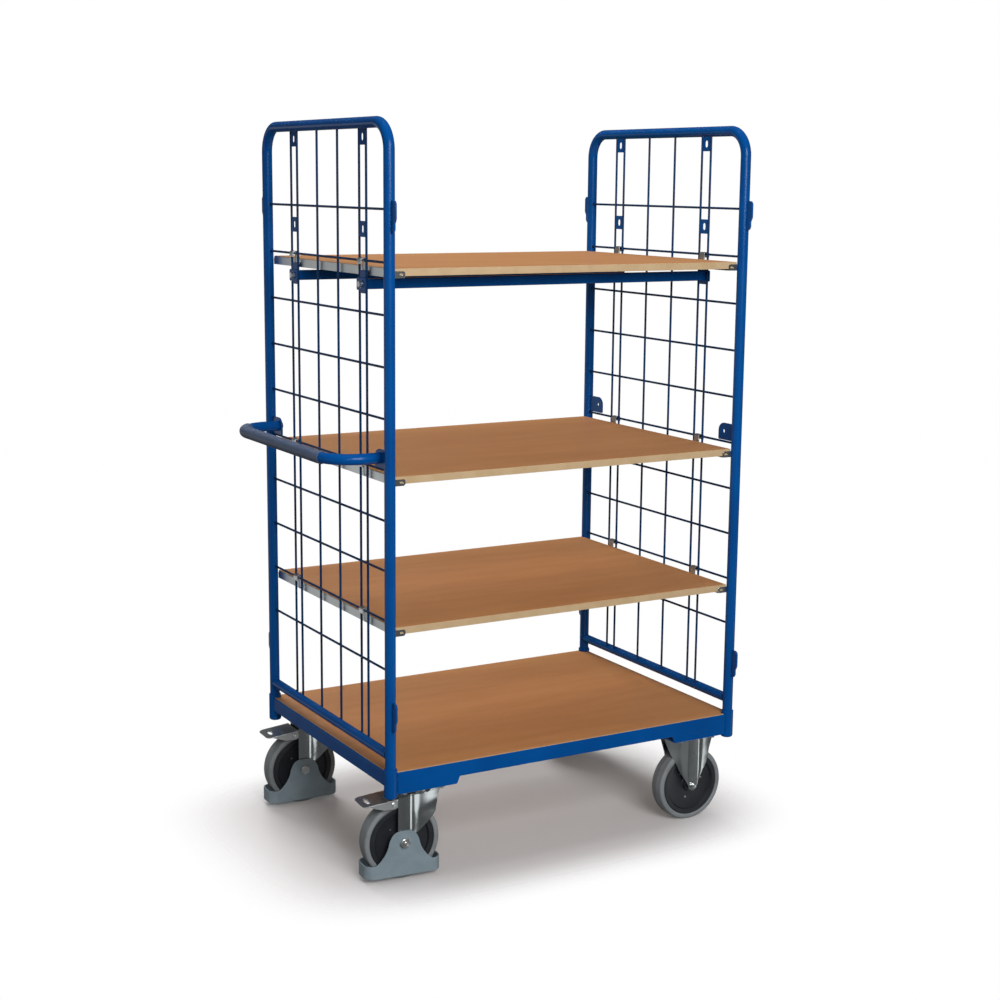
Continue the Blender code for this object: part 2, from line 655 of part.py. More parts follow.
def build_push_handle(root):
    """The bent handle and its sleeve, with the arms ending on the lugs."""
    z = lug_hole_height()
    start_x = -POST_X - LUG_THICKNESS / 2 - GAP
    arm = HANDLE_X + start_x - HANDLE_BEND_RADIUS
    cross = 2 * (LUG_HOLE_Y - HANDLE_BEND_RADIUS)
    shape = bmesh.new()
    tube = TubeBender(shape, (start_x, LUG_HOLE_Y, z), (-1, 0, 0), TUBE_RADIUS, TUBE_RADIUS - TUBE_WALL)
    tube.straight(arm).bend(90, HANDLE_BEND_RADIUS, (0, -1, 0)).straight(cross)
    tube.bend(90, HANDLE_BEND_RADIUS, (1, 0, 0)).straight(arm)
    handle = publish(shape, "push_handle", "blue_paint", root)
    shape = bmesh.new()
    head_face = start_x + LUG_THICKNESS + 2 * GAP + FRAME_BOLT_HEAD_HEIGHT
    for y in (-LUG_HOLE_Y, LUG_HOLE_Y):
        add_bolt(
            shape, (head_face, y, z), (-1, 0, 0), FRAME_BOLT_HEAD_RADIUS, FRAME_BOLT_HEAD_HEIGHT,
            FRAME_BOLT_RADIUS, LUG_THICKNESS + 3 * GAP, TUBE_RADIUS - TUBE_WALL / 2, FRAME_BOLT_GRIP,
        )
    weld_on(handle, shape, "bolts", root)

    grip_bend = 90 * GRIP_BEND_STEPS / BEND_STEPS
    turn = radians(grip_bend)
    heading = Vector((-sin(turn), -cos(turn), 0))
    inward = Vector((cos(turn), -sin(turn), 0))
    centre = Vector((-HANDLE_X + HANDLE_BEND_RADIUS, LUG_HOLE_Y - HANDLE_BEND_RADIUS, z))
    shape = bmesh.new()
    sleeve = TubeBender(shape, centre - inward * HANDLE_BEND_RADIUS, heading, GRIP_RADIUS, TUBE_RADIUS + GAP)
    sleeve.bend(grip_bend, HANDLE_BEND_RADIUS, inward, GRIP_BEND_STEPS)
    sleeve.straight(LUG_HOLE_Y - HANDLE_BEND_RADIUS + GRIP_END_Y)
    publish(shape, "handle_grip", "grip_plastic", root)


# Shelves and stay bars


def shelf_top(row):
    """Height of a shelf's upper face when it hangs on a row of the panels."""
    return row_height(row) - SHELF_DROP


def build_shelf(root, name, row):
    """A board in two folded end rails."""
    top = shelf_top(row)
    under = top - BOARD_THICKNESS
    half_y = LOADING_WIDTH / 2 + SHELF_OVERHANG
    board_x = SHELF_END_X - END_RAIL_SHEET - GAP
    shape = bmesh.new()
    add_box(shape, (-board_x, -half_y, under), (board_x, half_y, top))
    publish(shape, f"{name}_shelf_board", "beech_board", root)

    floor_top = under - GAP
    floor_bottom = floor_top - END_RAIL_FLOOR
    outer_y = half_y + GAP + END_RAIL_SHEET
    inner_x = SHELF_END_X - END_RAIL_DEPTH
    web_x = SHELF_END_X - END_RAIL_SHEET
    pan = [(inner_x, outer_y), (SHELF_END_X, outer_y), (SHELF_END_X, -outer_y), (inner_x, -outer_y)]
    rim = [
        (inner_x, outer_y), (SHELF_END_X, outer_y), (SHELF_END_X, -outer_y), (inner_x, -outer_y),
        (inner_x, -outer_y + END_RAIL_SHEET), (web_x, -outer_y + END_RAIL_SHEET),
        (web_x, outer_y - END_RAIL_SHEET), (inner_x, outer_y - END_RAIL_SHEET),
    ]
    for end, sign in ENDS.items():
        shape = bmesh.new()
        lower = {point: shape.verts.new((sign * point[0], point[1], floor_bottom)) for point in pan}
        ledge = {point: shape.verts.new((sign * point[0], point[1], floor_top)) for point in rim}
        upper = {}
        for point in rim:
            tab = abs(point[1]) > half_y and point[0] == inner_x
            height = top - (END_RAIL_TAB_SETBACK if tab else END_RAIL_TOP_SETBACK)
            upper[point] = shape.verts.new((sign * point[0], point[1], height))
        shape.faces.new([lower[point] for point in pan])
        shape.faces.new([ledge[point] for point in rim[4:]])
        shape.faces.new([upper[point] for point in rim[:2] + rim[6:]])
        shape.faces.new([upper[point] for point in rim[1:3] + rim[5:7]])
        shape.faces.new([upper[point] for point in rim[2:6]])
        for start, stop in zip(rim, rim[1:] + rim[:1]):
            if start in lower and stop in lower:
                shape.faces.new((lower[start], lower[stop], ledge[stop], ledge[start]))
                shape.faces.new((ledge[start], ledge[stop], upper[stop], upper[start]))
            else:
                shape.faces.new((ledge[start], ledge[stop], upper[stop], upper[start]))
        mouth = [rim[0], rim[7], rim[4], rim[3]]
        shape.faces.new([lower[rim[0]]] + [ledge[point] for point in mouth] + [lower[rim[3]]])
        rail = publish(shape, f"{name}_shelf_{end}_rail", "zinc_steel", root)
        shape = bmesh.new()
        for y in (-PAIR_OFFSET_Y, PAIR_OFFSET_Y):
            origin = (0, y + sign * HOOK_WIDTH / 2, 0)
            add_plate(shape, hook_outline(row), origin, (sign, 0, 0), (0, 0, 1), HOOK_WIDTH)
        weld_on(rail, shape, "hooks", root)


def hook_outline(row):
    """Side view of the strip that stands on a shelf's end rail and hooks over a panel wire."""
    wire = row_height(row)
    crest = wire + WIRE_CORNER + GAP
    foot = shelf_top(row) - HOOK_FOOT
    inner = SHELF_END_X - WELD
    outer = ROW_X + WIRE_RADIUS + GAP
    return [
        (inner, foot), (inner, crest + HOOK_SHEET), (outer + HOOK_SHEET, crest + HOOK_SHEET),
        (outer + HOOK_SHEET, wire - HOOK_TAIL), (outer, wire - HOOK_TAIL), (outer, crest),
        (inner + HOOK_SHEET, crest), (inner + HOOK_SHEET, foot),
    ]


def stay_bar_height():
    """Height of the stay bars' axis."""
    rail_under = shelf_top(SHELF_ROWS["upper"]) - BOARD_THICKNESS - GAP - END_RAIL_FLOOR
    return rail_under - STAY_BAR_CLEARANCE - STAY_BAR_SIZE / 2


def build_stay_bars(root):
    """Two square tubes with end plates, under the upper shelf, and the bolted clamps that hold them."""
    z = stay_bar_height()
    half = STAY_BAR_SIZE / 2
    bore = half - STAY_BAR_WALL
    plate_half = STAY_PLATE_THICKNESS / 2
    bar_x = COLUMN_X - plate_half + WELD
    square = [(-half, -half), (half, -half), (half, half), (-half, half)]
    inside = [(-bore, -bore), (bore, -bore), (bore, bore), (-bore, bore)]
    half_u = PAIR_SPACING / 2 - WIRE_CORNER - GAP
    bottom, top = -half - STAY_PLATE_DROP, half + STAY_PLATE_RISE
    plate = [(-half_u, bottom), (half_u, bottom), (half_u, top), (-half_u, top)]
    clamp = rounded_rectangle(CLAMP_WIDTH / 2, CLAMP_HEIGHT / 2, CLAMP_THICKNESS)
    hole = circle(FRAME_BOLT_RADIUS + GAP)
    clamp_x = COLUMN_X + WIRE_RADIUS + GAP
    grip = clamp_x + CLAMP_THICKNESS - COLUMN_X + plate_half + GAP
    for side, way in SIDES.items():
        y = way * PAIR_OFFSET_Y
        shape = bmesh.new()
        add_plate(shape, square, (-bar_x, y, z), (0, 1, 0), (0, 0, 1), 2 * bar_x, [inside])
        bar = publish(shape, f"stay_bar_{side}", "blue_paint", root)
        shape = bmesh.new()
        for end, sign in ENDS.items():
            origin = (sign * COLUMN_X - plate_half, y, z)
            add_plate(shape, plate, origin, (0, 1, 0), (0, 0, 1), STAY_PLATE_THICKNESS, [hole])
            plate_shape = bmesh.new()
            add_plate(plate_shape, clamp, (sign * clamp_x, y, z), (0, sign, 0), (0, 0, 1), CLAMP_THICKNESS)
            holder = publish(plate_shape, f"stay_bar_{side}_{end}_clamp", "blue_paint", root)
            bolt = bmesh.new()
            add_bolt(
                bolt, (sign * (clamp_x + CLAMP_THICKNESS + FRAME_BOLT_HEAD_HEIGHT), y, z), (-sign, 0, 0),
                FRAME_BOLT_HEAD_RADIUS, FRAME_BOLT_HEAD_HEIGHT, FRAME_BOLT_RADIUS, grip,
                bore - GAP, FRAME_BOLT_GRIP,
            )
            weld_on(holder, bolt, "bolt", root)
        weld_on(bar, shape, "end_plates", root)


def add_bolt(shape, place, axis, head_radius, head_height, shank_radius, grip, nut_radius, nut_height):
    """A bolt with its nut: the head's outer face is at place, and axis points into the joint."""
    nut_start = head_height + grip
    profile = [
        (0, 0), (head_radius, 0), (head_radius, head_height), (shank_radius, head_height),
        (shank_radius, nut_start), (nut_radius, nut_start), (nut_radius, nut_start + nut_height),
        (0, nut_start + nut_height),
    ]
    add_turned(shape, profile, place, axis, BOLT_SIDES)


def weld_castor_bolts(piece, centre, carrier):
    """Add to a castor's top piece the four bolts that hold it, with their nuts above the mounting plate."""
    shape = bmesh.new()
    head_z = CASTOR_HEIGHT - CASTOR_PLATE_THICKNESS + WELD - CASTOR_BOLT_HEAD_HEIGHT
    head_radius, head_height = CASTOR_BOLT_HEAD_RADIUS, CASTOR_BOLT_HEAD_HEIGHT
    grip = MOUNT_PLATE_Z + MOUNT_PLATE_THICKNESS + GAP - head_z - head_height
    for x, y in castor_bolt_places():
        add_bolt(
            shape, (centre.x + x, centre.y + y, head_z), (0, 0, 1), head_radius, head_height,
            CASTOR_BOLT_RADIUS, grip, head_radius, head_height,
        )
    weld_on(piece, shape, "bolts", carrier)


# Castors


def add_leg(shape, side, centre, axle_z, top_z, back_reaches, front_reaches, flat_back, flat_front):
    """One leg of a fork: a pressed strip that narrows to the axle, with its edges drawn inwards.

    side is the way out, +1 or -1. The reaches are the edges' distances from centre at each
    level. The strip is flat between flat_back and flat_front and curves in beyond them.
    """
    bottom_z = axle_z - FORK_EYE_RADIUS
    outer = FORK_HALF_WIDTH
    loops = []
    for share, back, front in zip(LEG_LEVEL_SHARES, back_reaches, front_reaches):
        z = bottom_z + share * (top_z - bottom_z)
        back_flat, front_flat = min(back, flat_back), min(front, flat_front)
        points = []
        for part in reversed(FLUTE_SHARES):
            points.append((-back_flat - part * (back - back_flat), flute_drop(part, back - back_flat)))
        for part in FLUTE_SHARES:
            points.append((front_flat + part * (front - front_flat), flute_drop(part, front - front_flat)))
        section = [(x, outer - drop) for x, drop in points]
        section += [(x, outer - drop - FORK_PLATE_THICKNESS) for x, drop in reversed(points)]
        loops.append([shape.verts.new((centre[0] + x, centre[1] + side * y, z)) for x, y in section])
    for low, high in zip(loops, loops[1:]):
        for i in range(len(low)):
            shape.faces.new((low[i - 1], low[i], high[i], high[i - 1]))
    shape.faces.new(loops[0])
    shape.faces.new(loops[-1])


def flute_drop(part, width):
    """How far a leg's edge has curved in, at a part of the way over the curved width."""
    if width <= 0:
        return 0.0
    depth = min(FORK_FLUTE_DEPTH, width)
    return depth * (1 - sqrt(1 - part ** 2))


def make_wheel(carrier, prefix, place):
    """The tyre and the wheel centre, round the axle."""
    axis = (0, 1, 0)
    seat = WHEEL_RADIUS - TYRE_SECTION
    profile = [(seat + r * TYRE_SECTION, w * TYRE_WIDTH) for r, w in TYRE_PROFILE_SHARES]
    shape = bmesh.new()
    add_turned(shape, profile, place, axis, WHEEL_SIDES, flat_down=True)
    publish(shape, f"{prefix}_tyre", "grey_tyre", carrier)

    rim = seat - 2 * GAP
    bore = AXLE_RADIUS + BUSH_WALL + GAP
    half = [(r * rim, w * TYRE_WIDTH) for r, w in zip(CENTRE_RADIUS_SHARES, CENTRE_WIDTH_SHARES)]
    half = [(bore, half[0][1])] + half
    profile = half + [(r, -w) for r, w in reversed(half)]
    shape = bmesh.new()
    add_turned(shape, profile, place, axis, WHEEL_SIDES, flat_down=True)
    publish(shape, f"{prefix}_wheel_centre", "black_plastic", carrier)


def make_axle(carrier, prefix, place, half_grip, head_radius, head_height):
    """The axle bolt through the fork, with the spacer that the wheel turns on."""
    shape = bmesh.new()
    start = Vector(place) - Vector((0, half_grip + head_height, 0))
    add_bolt(
        shape, start, (0, 1, 0), head_radius, head_height, AXLE_RADIUS, 2 * half_grip,
        head_radius, head_height,
    )
    axle = publish(shape, f"{prefix}_axle", "zinc_steel", carrier)
    spacer = FORK_HALF_WIDTH - FORK_PLATE_THICKNESS - GAP
    profile = [
        (0, -spacer), (AXLE_RADIUS + BUSH_WALL, -spacer), (AXLE_RADIUS + BUSH_WALL, spacer), (0, spacer),
    ]
    shape = bmesh.new()
    add_turned(shape, profile, place, (0, 1, 0), BUSH_SIDES)
    weld_on(axle, shape, "spacer", carrier)


def axle_cutter(carrier, prefix, place):
    """A bar that cuts the axle's holes."""
    reach = FORK_HALF_WIDTH + GUARD_WALL + GUARD_HALF_WIDTH
    shape = bmesh.new()
    start = Vector(place) - Vector((0, reach, 0))
    add_rod(shape, start, Vector(place) + Vector((0, reach, 0)), AXLE_RADIUS + GAP, BUSH_SIDES)
    return publish(shape, f"{prefix}_axle_cutter", "zinc_steel", carrier, guide=True)


def build_swivel_castor(root, side, sign):
    """A swivel castor: race, fork, foot guard, brake pedal, axle and wheel."""
    prefix = f"swivel_castor_{side}"
    head = Vector((-CASTOR_X, sign * CASTOR_Y, 0))
    axle = head + Vector((-CASTOR_TRAIL, 0, WHEEL_RADIUS))
    swivel = Carrier(f"{prefix}_swivel_axis", head, root, CASTOR_TURN_DEGREES[side])
    wheel = Carrier(f"{prefix}_wheel_axis", axle, swivel)
    pivot_x = axle.x - PEDAL_PIVOT_BACK
    pivot = Vector((pivot_x, head.y, PEDAL_PIVOT_Z))
    pedal = Carrier(f"{prefix}_pedal_axis", pivot, swivel)

    plate_bottom = CASTOR_HEIGHT - CASTOR_PLATE_THICKNESS
    race_top = plate_bottom - GAP
    race_bottom = race_top - RACE_HEIGHT
    middle = (race_top + race_bottom) / 2
    lip = RACE_HEIGHT / 6
    profile = [
        (0, race_bottom), (RACE_RADIUS, race_bottom), (RACE_RADIUS, race_bottom + lip),
        (RACE_WAIST_RADIUS, middle), (RACE_RADIUS, race_top - lip), (RACE_RADIUS, race_top),
        (KING_PIN_RADIUS, race_top), (KING_PIN_RADIUS, CASTOR_HEIGHT - OVERRUN), (0, CASTOR_HEIGHT - OVERRUN),
    ]
    race = bmesh.new()
    add_turned(race, profile, head, (0, 0, 1), RACE_SIDES)

    outer = FORK_HALF_WIDTH
    back = CASTOR_TRAIL + FORK_BACK_REACH * SWIVEL_BACK_SHARES[-1]
    front = FORK_FRONT_REACH * SWIVEL_FRONT_SHARES[-1]
    shape = bmesh.new()
    web = shifted(rounded_rectangle((back + front) / 2, outer, FORK_FLUTE_DEPTH), (front - back) / 2, 0)
    add_plate(shape, web, (head.x, head.y, FORK_WEB_BOTTOM), (1, 0, 0), (0, 1, 0), FORK_WEB_THICKNESS)
    fork = publish(shape, f"{prefix}_fork", "zinc_steel", swivel)
    weld_on(fork, race, "race", swivel)

    cutter = axle_cutter(swivel, prefix, axle)
    back_reaches = [FORK_EYE_RADIUS * share for share in SWIVEL_BACK_SHARES[:3]]
    back_reaches += [FORK_BACK_REACH * share for share in SWIVEL_BACK_SHARES[3:]]
    front_reaches = [(FORK_FRONT_REACH + CASTOR_TRAIL) * share for share in SWIVEL_FRONT_SHARES]
    for name, way in SIDES.items():
        shape = bmesh.new()
        add_leg(
            shape, way, axle, WHEEL_RADIUS, FORK_WEB_TOP - OVERRUN, back_reaches, front_reaches,
            FORK_BACK_REACH, FORK_EYE_RADIUS,
        )
        combine(weld_on(fork, shape, f"leg_{name}", swivel), cutter, "DIFFERENCE")
        shape = bmesh.new()
        tab_start = axle.x - FORK_BACK_REACH / 2
        inner = outer - FORK_PLATE_THICKNESS
        ear = [(tab_start - pivot_x, EAR_RADIUS)]
        ear += arc(0, 0, EAR_RADIUS, 90, 270) + [(tab_start - pivot_x, -EAR_RADIUS)]
        hole = circle(PEDAL_PIN_RADIUS + GAP)
        origin = (pivot_x, head.y + way * (inner + OVERRUN / 2), PEDAL_PIVOT_Z)
        add_plate(shape, ear, origin, (1, 0, 0), (0, 0, 1), -way * (FORK_PLATE_THICKNESS - OVERRUN), [hole])
        weld_on(fork, shape, f"ear_{name}", swivel)
    make_castor_plate(root, f"{prefix}_top_plate", head, [circle(KING_PIN_RADIUS + GAP)])
    build_foot_guard(swivel, prefix, axle, cutter)
    make_axle(swivel, prefix, axle, GUARD_HALF_WIDTH + GAP, AXLE_NUT_RADIUS, AXLE_NUT_HEIGHT)
    build_pedal(pedal, prefix, pivot)
    make_wheel(wheel, prefix, axle)


def build_foot_guard(carrier, prefix, axle, cutter):
    """A plastic band round the foot of the wheel, with a bell-shaped cheek on each side."""
    bottom = GUARD_CLEARANCE_Z
    top = bottom + GUARD_BAND_HEIGHT
    band = rounded_rectangle(GUARD_HALF_LENGTH, GUARD_HALF_WIDTH, GUARD_CORNER_RADIUS, ARC_STEPS)
    inside = rounded_rectangle(
        GUARD_HALF_LENGTH - GUARD_WALL, GUARD_HALF_WIDTH - GUARD_WALL, GUARD_CORNER_RADIUS - GUARD_WALL,
        ARC_STEPS,
    )
    shape = bmesh.new()
    add_plate(shape, band, (axle.x, axle.y, bottom), (1, 0, 0), (0, 1, 0), GUARD_BAND_HEIGHT, [inside])
    guard = publish(shape, f"{prefix}_foot_guard", "grey_plastic", carrier)

    foot = bottom + GUARD_BAND_HEIGHT / 2
    rise = axle.z + GUARD_CROWN_RISE - top
    flank = [(BELL_REACH_SHARES[0] * GUARD_HALF_LENGTH, foot)]
    flank += [
        (share * GUARD_HALF_LENGTH, top + height * rise)
        for share, height in zip(BELL_REACH_SHARES, BELL_RISE_SHARES)
    ]
    outline = flank + [(-u, v) for u, v in reversed(flank)]
    skin = OVERRUN / 4
    for name, way in SIDES.items():
        shape = bmesh.new()
        origin = (axle.x, axle.y + way * (GUARD_HALF_WIDTH - skin), 0)
        add_plate(shape, outline, origin, (1, 0, 0), (0, 0, 1), way * (GUARD_WALL - 2 * skin))
        combine(weld_on(guard, shape, f"cheek_{name}", carrier), cutter, "DIFFERENCE")


def build_pedal(carrier, prefix, pivot):
    """The brake pedal: a tread with an eye, two flanges, and a pin on each side."""
    start_u, start_v = PEDAL_FLANGE_DEPTH / 2, PEDAL_RISE
    tip_u, tip_v = -PEDAL_LENGTH, PEDAL_RISE - PEDAL_TIP_DROP
    slope = Vector((tip_u - start_u, 0, tip_v - start_v))
    length = slope.length
    along = slope.normalized()
    across = Vector((0, 1, 0))
    half_width = PEDAL_HALF_WIDTH
    nose = PEDAL_EYE_WIDTH
    outline = [(0, -half_width), (length - nose, -half_width), (length, -half_width + nose)]
    outline += [(length, half_width - nose), (length - nose, half_width), (0, half_width)]
    eye = shifted(
        rounded_rectangle(PEDAL_EYE_WIDTH / 2, PEDAL_EYE_LENGTH / 2, PEDAL_EYE_WIDTH * ROUNDED_END_SHARE),
        length - PEDAL_EYE_WIDTH - nose, 0,
    )
    start = pivot + Vector((start_u, 0, start_v))
    shape = bmesh.new()
    add_plate(shape, outline, start, along, across, PEDAL_THICKNESS, [eye])
    pedal = publish(shape, f"{prefix}_brake_pedal", "zinc_steel", carrier)

    depth = PEDAL_FLANGE_DEPTH
    end_u = tip_u * PEDAL_FLANGE_SHARE
    end_v = start_v + (tip_v - start_v) * PEDAL_FLANGE_SHARE - OVERRUN
    flange = [
        (start_u, start_v - OVERRUN), (start_u, start_v - depth), (-depth, start_v - depth),
        (end_u, end_v - PEDAL_THICKNESS), (end_u, end_v),
    ]
    inner = half_width - PEDAL_THICKNESS
    for name, way in SIDES.items():
        shape = bmesh.new()
        origin = pivot + Vector((0, way * (half_width - OVERRUN / 4), 0))
        add_plate(shape, flange, origin, (1, 0, 0), (0, 0, 1), way * (PEDAL_THICKNESS - OVERRUN / 2))
        weld_on(pedal, shape, f"flange_{name}", carrier)
        shape = bmesh.new()
        pin_end = FORK_HALF_WIDTH - 2 * FORK_PLATE_THICKNESS
        profile = [
            (0, pin_end), (PEDAL_PIN_RADIUS, pin_end), (PEDAL_PIN_RADIUS, half_width - OVERRUN / 2),
            (PEDAL_PIN_HEAD_RADIUS, half_width - OVERRUN / 2),
            (PEDAL_PIN_HEAD_RADIUS, inner + PEDAL_THICKNESS + PEDAL_PIN_HEAD_HEIGHT),
            (0, inner + PEDAL_THICKNESS + PEDAL_PIN_HEAD_HEIGHT),
        ]
        add_turned(shape, profile, pivot, (0, way, 0), BUSH_SIDES)
        weld_on(pedal, shape, f"pin_{name}", carrier)


def build_fixed_castor(root, side, sign):
    """A fixed castor: the bracket with its two legs, the axle and the wheel."""
    prefix = f"fixed_castor_{side}"
    axle = Vector((CASTOR_X, sign * CASTOR_Y, WHEEL_RADIUS))
    wheel = Carrier(f"{prefix}_wheel_axis", axle, root)
    plate_bottom = CASTOR_HEIGHT - CASTOR_PLATE_THICKNESS
    bracket = make_castor_plate(root, f"{prefix}_bracket", axle)
    reaches = [BRACKET_HALF_LENGTH * share for share in FIXED_SIDE_SHARES]
    cutter = axle_cutter(root, prefix, axle)
    for name, way in SIDES.items():
        shape = bmesh.new()
        add_leg(
            shape, way, axle, WHEEL_RADIUS, plate_bottom + OVERRUN, reaches, reaches,
            FORK_EYE_RADIUS, FORK_EYE_RADIUS,
        )
        combine(weld_on(bracket, shape, f"leg_{name}", root), cutter, "DIFFERENCE")
    make_axle(root, prefix, axle, FORK_HALF_WIDTH + GAP, AXLE_HEAD_RADIUS, AXLE_HEAD_HEIGHT)
    make_wheel(wheel, prefix, axle)


def make_castor_plate(root, name, centre, holes=()):
    """A castor's top plate with its bolts."""
    outline = rounded_rectangle(CASTOR_PLATE_LENGTH / 2, CASTOR_PLATE_WIDTH / 2, CASTOR_PLATE_CORNER)
    shape = bmesh.new()
    origin = (centre.x, centre.y, CASTOR_HEIGHT - CASTOR_PLATE_THICKNESS)
    add_plate(shape, outline, origin, (1, 0, 0), (0, 1, 0), CASTOR_PLATE_THICKNESS, holes)
    piece = publish(shape, name, "zinc_steel", root)
    weld_castor_bolts(piece, centre, root)
    return piece


def main():
    """Build the whole trolley."""
    clear_scene()
    make_finishes()
    root = Carrier("trolley_centre", (0, 0, 0))
    build_base_rails(root)
    build_corner_sockets(root)
    build_deck_board(root)
    build_castor_mounts(root)
    for end, sign in ENDS.items():
        build_posts(root, end, sign)
        build_top_bar(root, end, sign)
        build_wire_panel(root, end, sign)
    build_push_handle(root)
    for name, row in SHELF_ROWS.items():
        build_shelf(root, name, row)
    build_stay_bars(root)
    for side, sign in SIDES.items():
        build_swivel_castor(root, side, sign)
        build_fixed_castor(root, side, sign)


if __name__ == "__main__":
    main()
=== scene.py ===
"""Parcel trolley: finished surfaces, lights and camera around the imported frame.

Places are in metres in the trolley's own middle: the push handle is at the -X end and the front looks along
+X, so left is +Y, and the wheels stand on Z = 0. A finished mesh is moved to the frame's origin.
"""

import logging
from collections.abc import Iterable, Sequence
from dataclasses import dataclass, field
from enum import Enum
from math import atan2, cos, pi, radians, sin, sqrt

import bmesh
import bpy
from mathutils import Matrix, Vector


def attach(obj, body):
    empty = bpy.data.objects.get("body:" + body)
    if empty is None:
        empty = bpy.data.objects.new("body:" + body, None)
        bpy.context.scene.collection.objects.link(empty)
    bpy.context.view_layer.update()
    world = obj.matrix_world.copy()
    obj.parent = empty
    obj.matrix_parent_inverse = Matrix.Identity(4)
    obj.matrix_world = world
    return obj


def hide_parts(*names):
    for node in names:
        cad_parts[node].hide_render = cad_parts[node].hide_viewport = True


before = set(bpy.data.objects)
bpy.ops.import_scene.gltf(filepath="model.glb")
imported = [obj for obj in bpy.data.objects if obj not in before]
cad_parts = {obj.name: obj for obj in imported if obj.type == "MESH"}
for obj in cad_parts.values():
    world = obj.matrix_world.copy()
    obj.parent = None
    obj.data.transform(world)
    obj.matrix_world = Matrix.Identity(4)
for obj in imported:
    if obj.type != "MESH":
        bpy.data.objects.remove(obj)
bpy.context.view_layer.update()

log = logging.getLogger("parcel_trolley")

Point = tuple[float, float]
Place = Sequence[float]


class Side(Enum):
    """The two long sides of the trolley."""

    LEFT = 1
    RIGHT = -1

    @property
    def word(self) -> str:
        """The side's word in names."""
        return self.name.lower()


class End(Enum):
    """The two ends of the trolley."""

    HANDLE = -1
    FRONT = 1

    @property
    def word(self) -> str:
        """The end's word in names."""
        return f"{self.name.lower()}_end"


@dataclass(frozen=True)
class Sizes:
    """The trolley's main sizes and places, as in its frame. Tube, wire and bottom_tube are radii."""

    middle_x: float = 0.0614
    gap: float = 0.0003
    post_x: float = 0.5135
    post_y: float = 0.3635
    tube: float = 0.0135
    tube_wall: float = 0.002
    post_bottom: float = 0.2343
    top_tube_z: float = 1.8565
    top_bend: float = 0.065
    socket_bottom: float = 0.230
    socket_top: float = 0.3046
    socket_radius: float = 0.0165
    castor_x: float = 0.418
    castor_y: float = 0.312
    castor_height: float = 0.240
    castor_trail: float = 0.045
    castor_bolt_x: float = 0.0525
    castor_bolt_y: float = 0.042
    plate_thickness: float = 0.004
    mount_bottom: float = 0.2403
    mount_top: float = 0.2453
    rail_bottom: float = 0.2586
    rail_top: float = 0.2956
    rail_x: float = 0.524
    rail_y: float = 0.374
    rail_wall: float = 0.004
    deck_top: float = 0.2969
    board: float = 0.018
    bottom_tube_z: float = 0.3379
    bottom_tube: float = 0.0125
    wire: float = 0.003
    row_x: float = 0.5105
    column_x: float = 0.505
    lowest_row: float = 0.5486
    row_pitch: float = 0.1232111
    row_count: int = 10
    pair_y: float = 0.2045
    pair_spacing: float = 0.0385
    single_y: float = 0.061
    lug_y: float = 0.309
    lug_z: float = 1.0686
    lug_thickness: float = 0.005
    shelf_drop: float = 0.0133
    shelf_half_y: float = 0.360
    shelf_end_x: float = 0.4989
    axle_z: float = 0.100

    def row(self, index: int) -> float:
        """Height of a horizontal wire, counted from 0 at the bottom."""
        return self.lowest_row + index * self.row_pitch

    def shelf_top(self, index: int) -> float:
        """Height of the shelf that hangs on a row."""
        return self.row(index) - self.shelf_drop

    def columns(self) -> list[float]:
        """Places across the trolley of the upright wires."""
        half = self.pair_spacing / 2
        pairs = [side * self.pair_y + step for side in (-1, 1) for step in (-half, half)]
        return sorted(pairs + [-self.single_y, self.single_y])

    def castor_bolts(self) -> list[Point]:
        """Places of a castor's four bolts, from its middle."""
        x, y = self.castor_bolt_x, self.castor_bolt_y
        return [(u, v) for u in (-x, x) for v in (-y, y)]


SIZES = Sizes()
SHELF_ROWS = {"upper": 8, "middle": 4, "lower": 1}
CASTOR_TURNS = {Side.LEFT: -2.0, Side.RIGHT: -5.0}


# Shader sums


class Value:
    """A shader socket that works in Python sums."""

    def __init__(self, surface: "Shading", socket: bpy.types.NodeSocket) -> None:
        """Wrap a socket.

        Args:
            surface: the tree that holds the socket.
            socket: the output to work with.
        """
        self.surface = surface
        self.socket = socket

    def _math(self, operation: str, *others: "Value | float", swap: bool = False) -> "Value":
        """Add one Math node and return its result."""
        values = [*others, self] if swap else [self, *others]
        return self.surface.node("ShaderNodeMath", {"operation": operation}, dict(enumerate(values)))

    def __add__(self, other: "Value | float") -> "Value":
        """Sum."""
        return self._math("ADD", other)

    __radd__ = __add__

    def __mul__(self, other: "Value | float") -> "Value":
        """Product."""
        return self._math("MULTIPLY", other)

    __rmul__ = __mul__

    def __sub__(self, other: "Value | float") -> "Value":
        """Difference."""
        return self._math("SUBTRACT", other)

    def __rsub__(self, other: "Value | float") -> "Value":
        """Difference from a number."""
        return self._math("SUBTRACT", other, swap=True)

    def __pow__(self, other: float) -> "Value":
        """Power."""
        return self._math("POWER", other)

    def most(self, other: "Value | float") -> "Value":
        """The greater of two."""
        return self._math("MAXIMUM", other)

    def spread(self, low: float, high: float) -> "Value":
        """A smooth step from 0 at low to 1 at high."""
        sockets = {"Value": self, "From Min": low, "From Max": high}
        return self.surface.node("ShaderNodeMapRange", {"interpolation_type": "SMOOTHSTEP"}, sockets)


Colour = tuple[float, float, float]


def colour(red: int, green: int, blue: int) -> Colour:
    """A colour as it is seen, from 0 to 255, as the linear values that shaders use."""
    parts = [part / 255 for part in (red, green, blue)]
    return tuple(part / 12.92 if part <= 0.04045 else ((part + 0.055) / 1.055) ** 2.4 for part in parts)


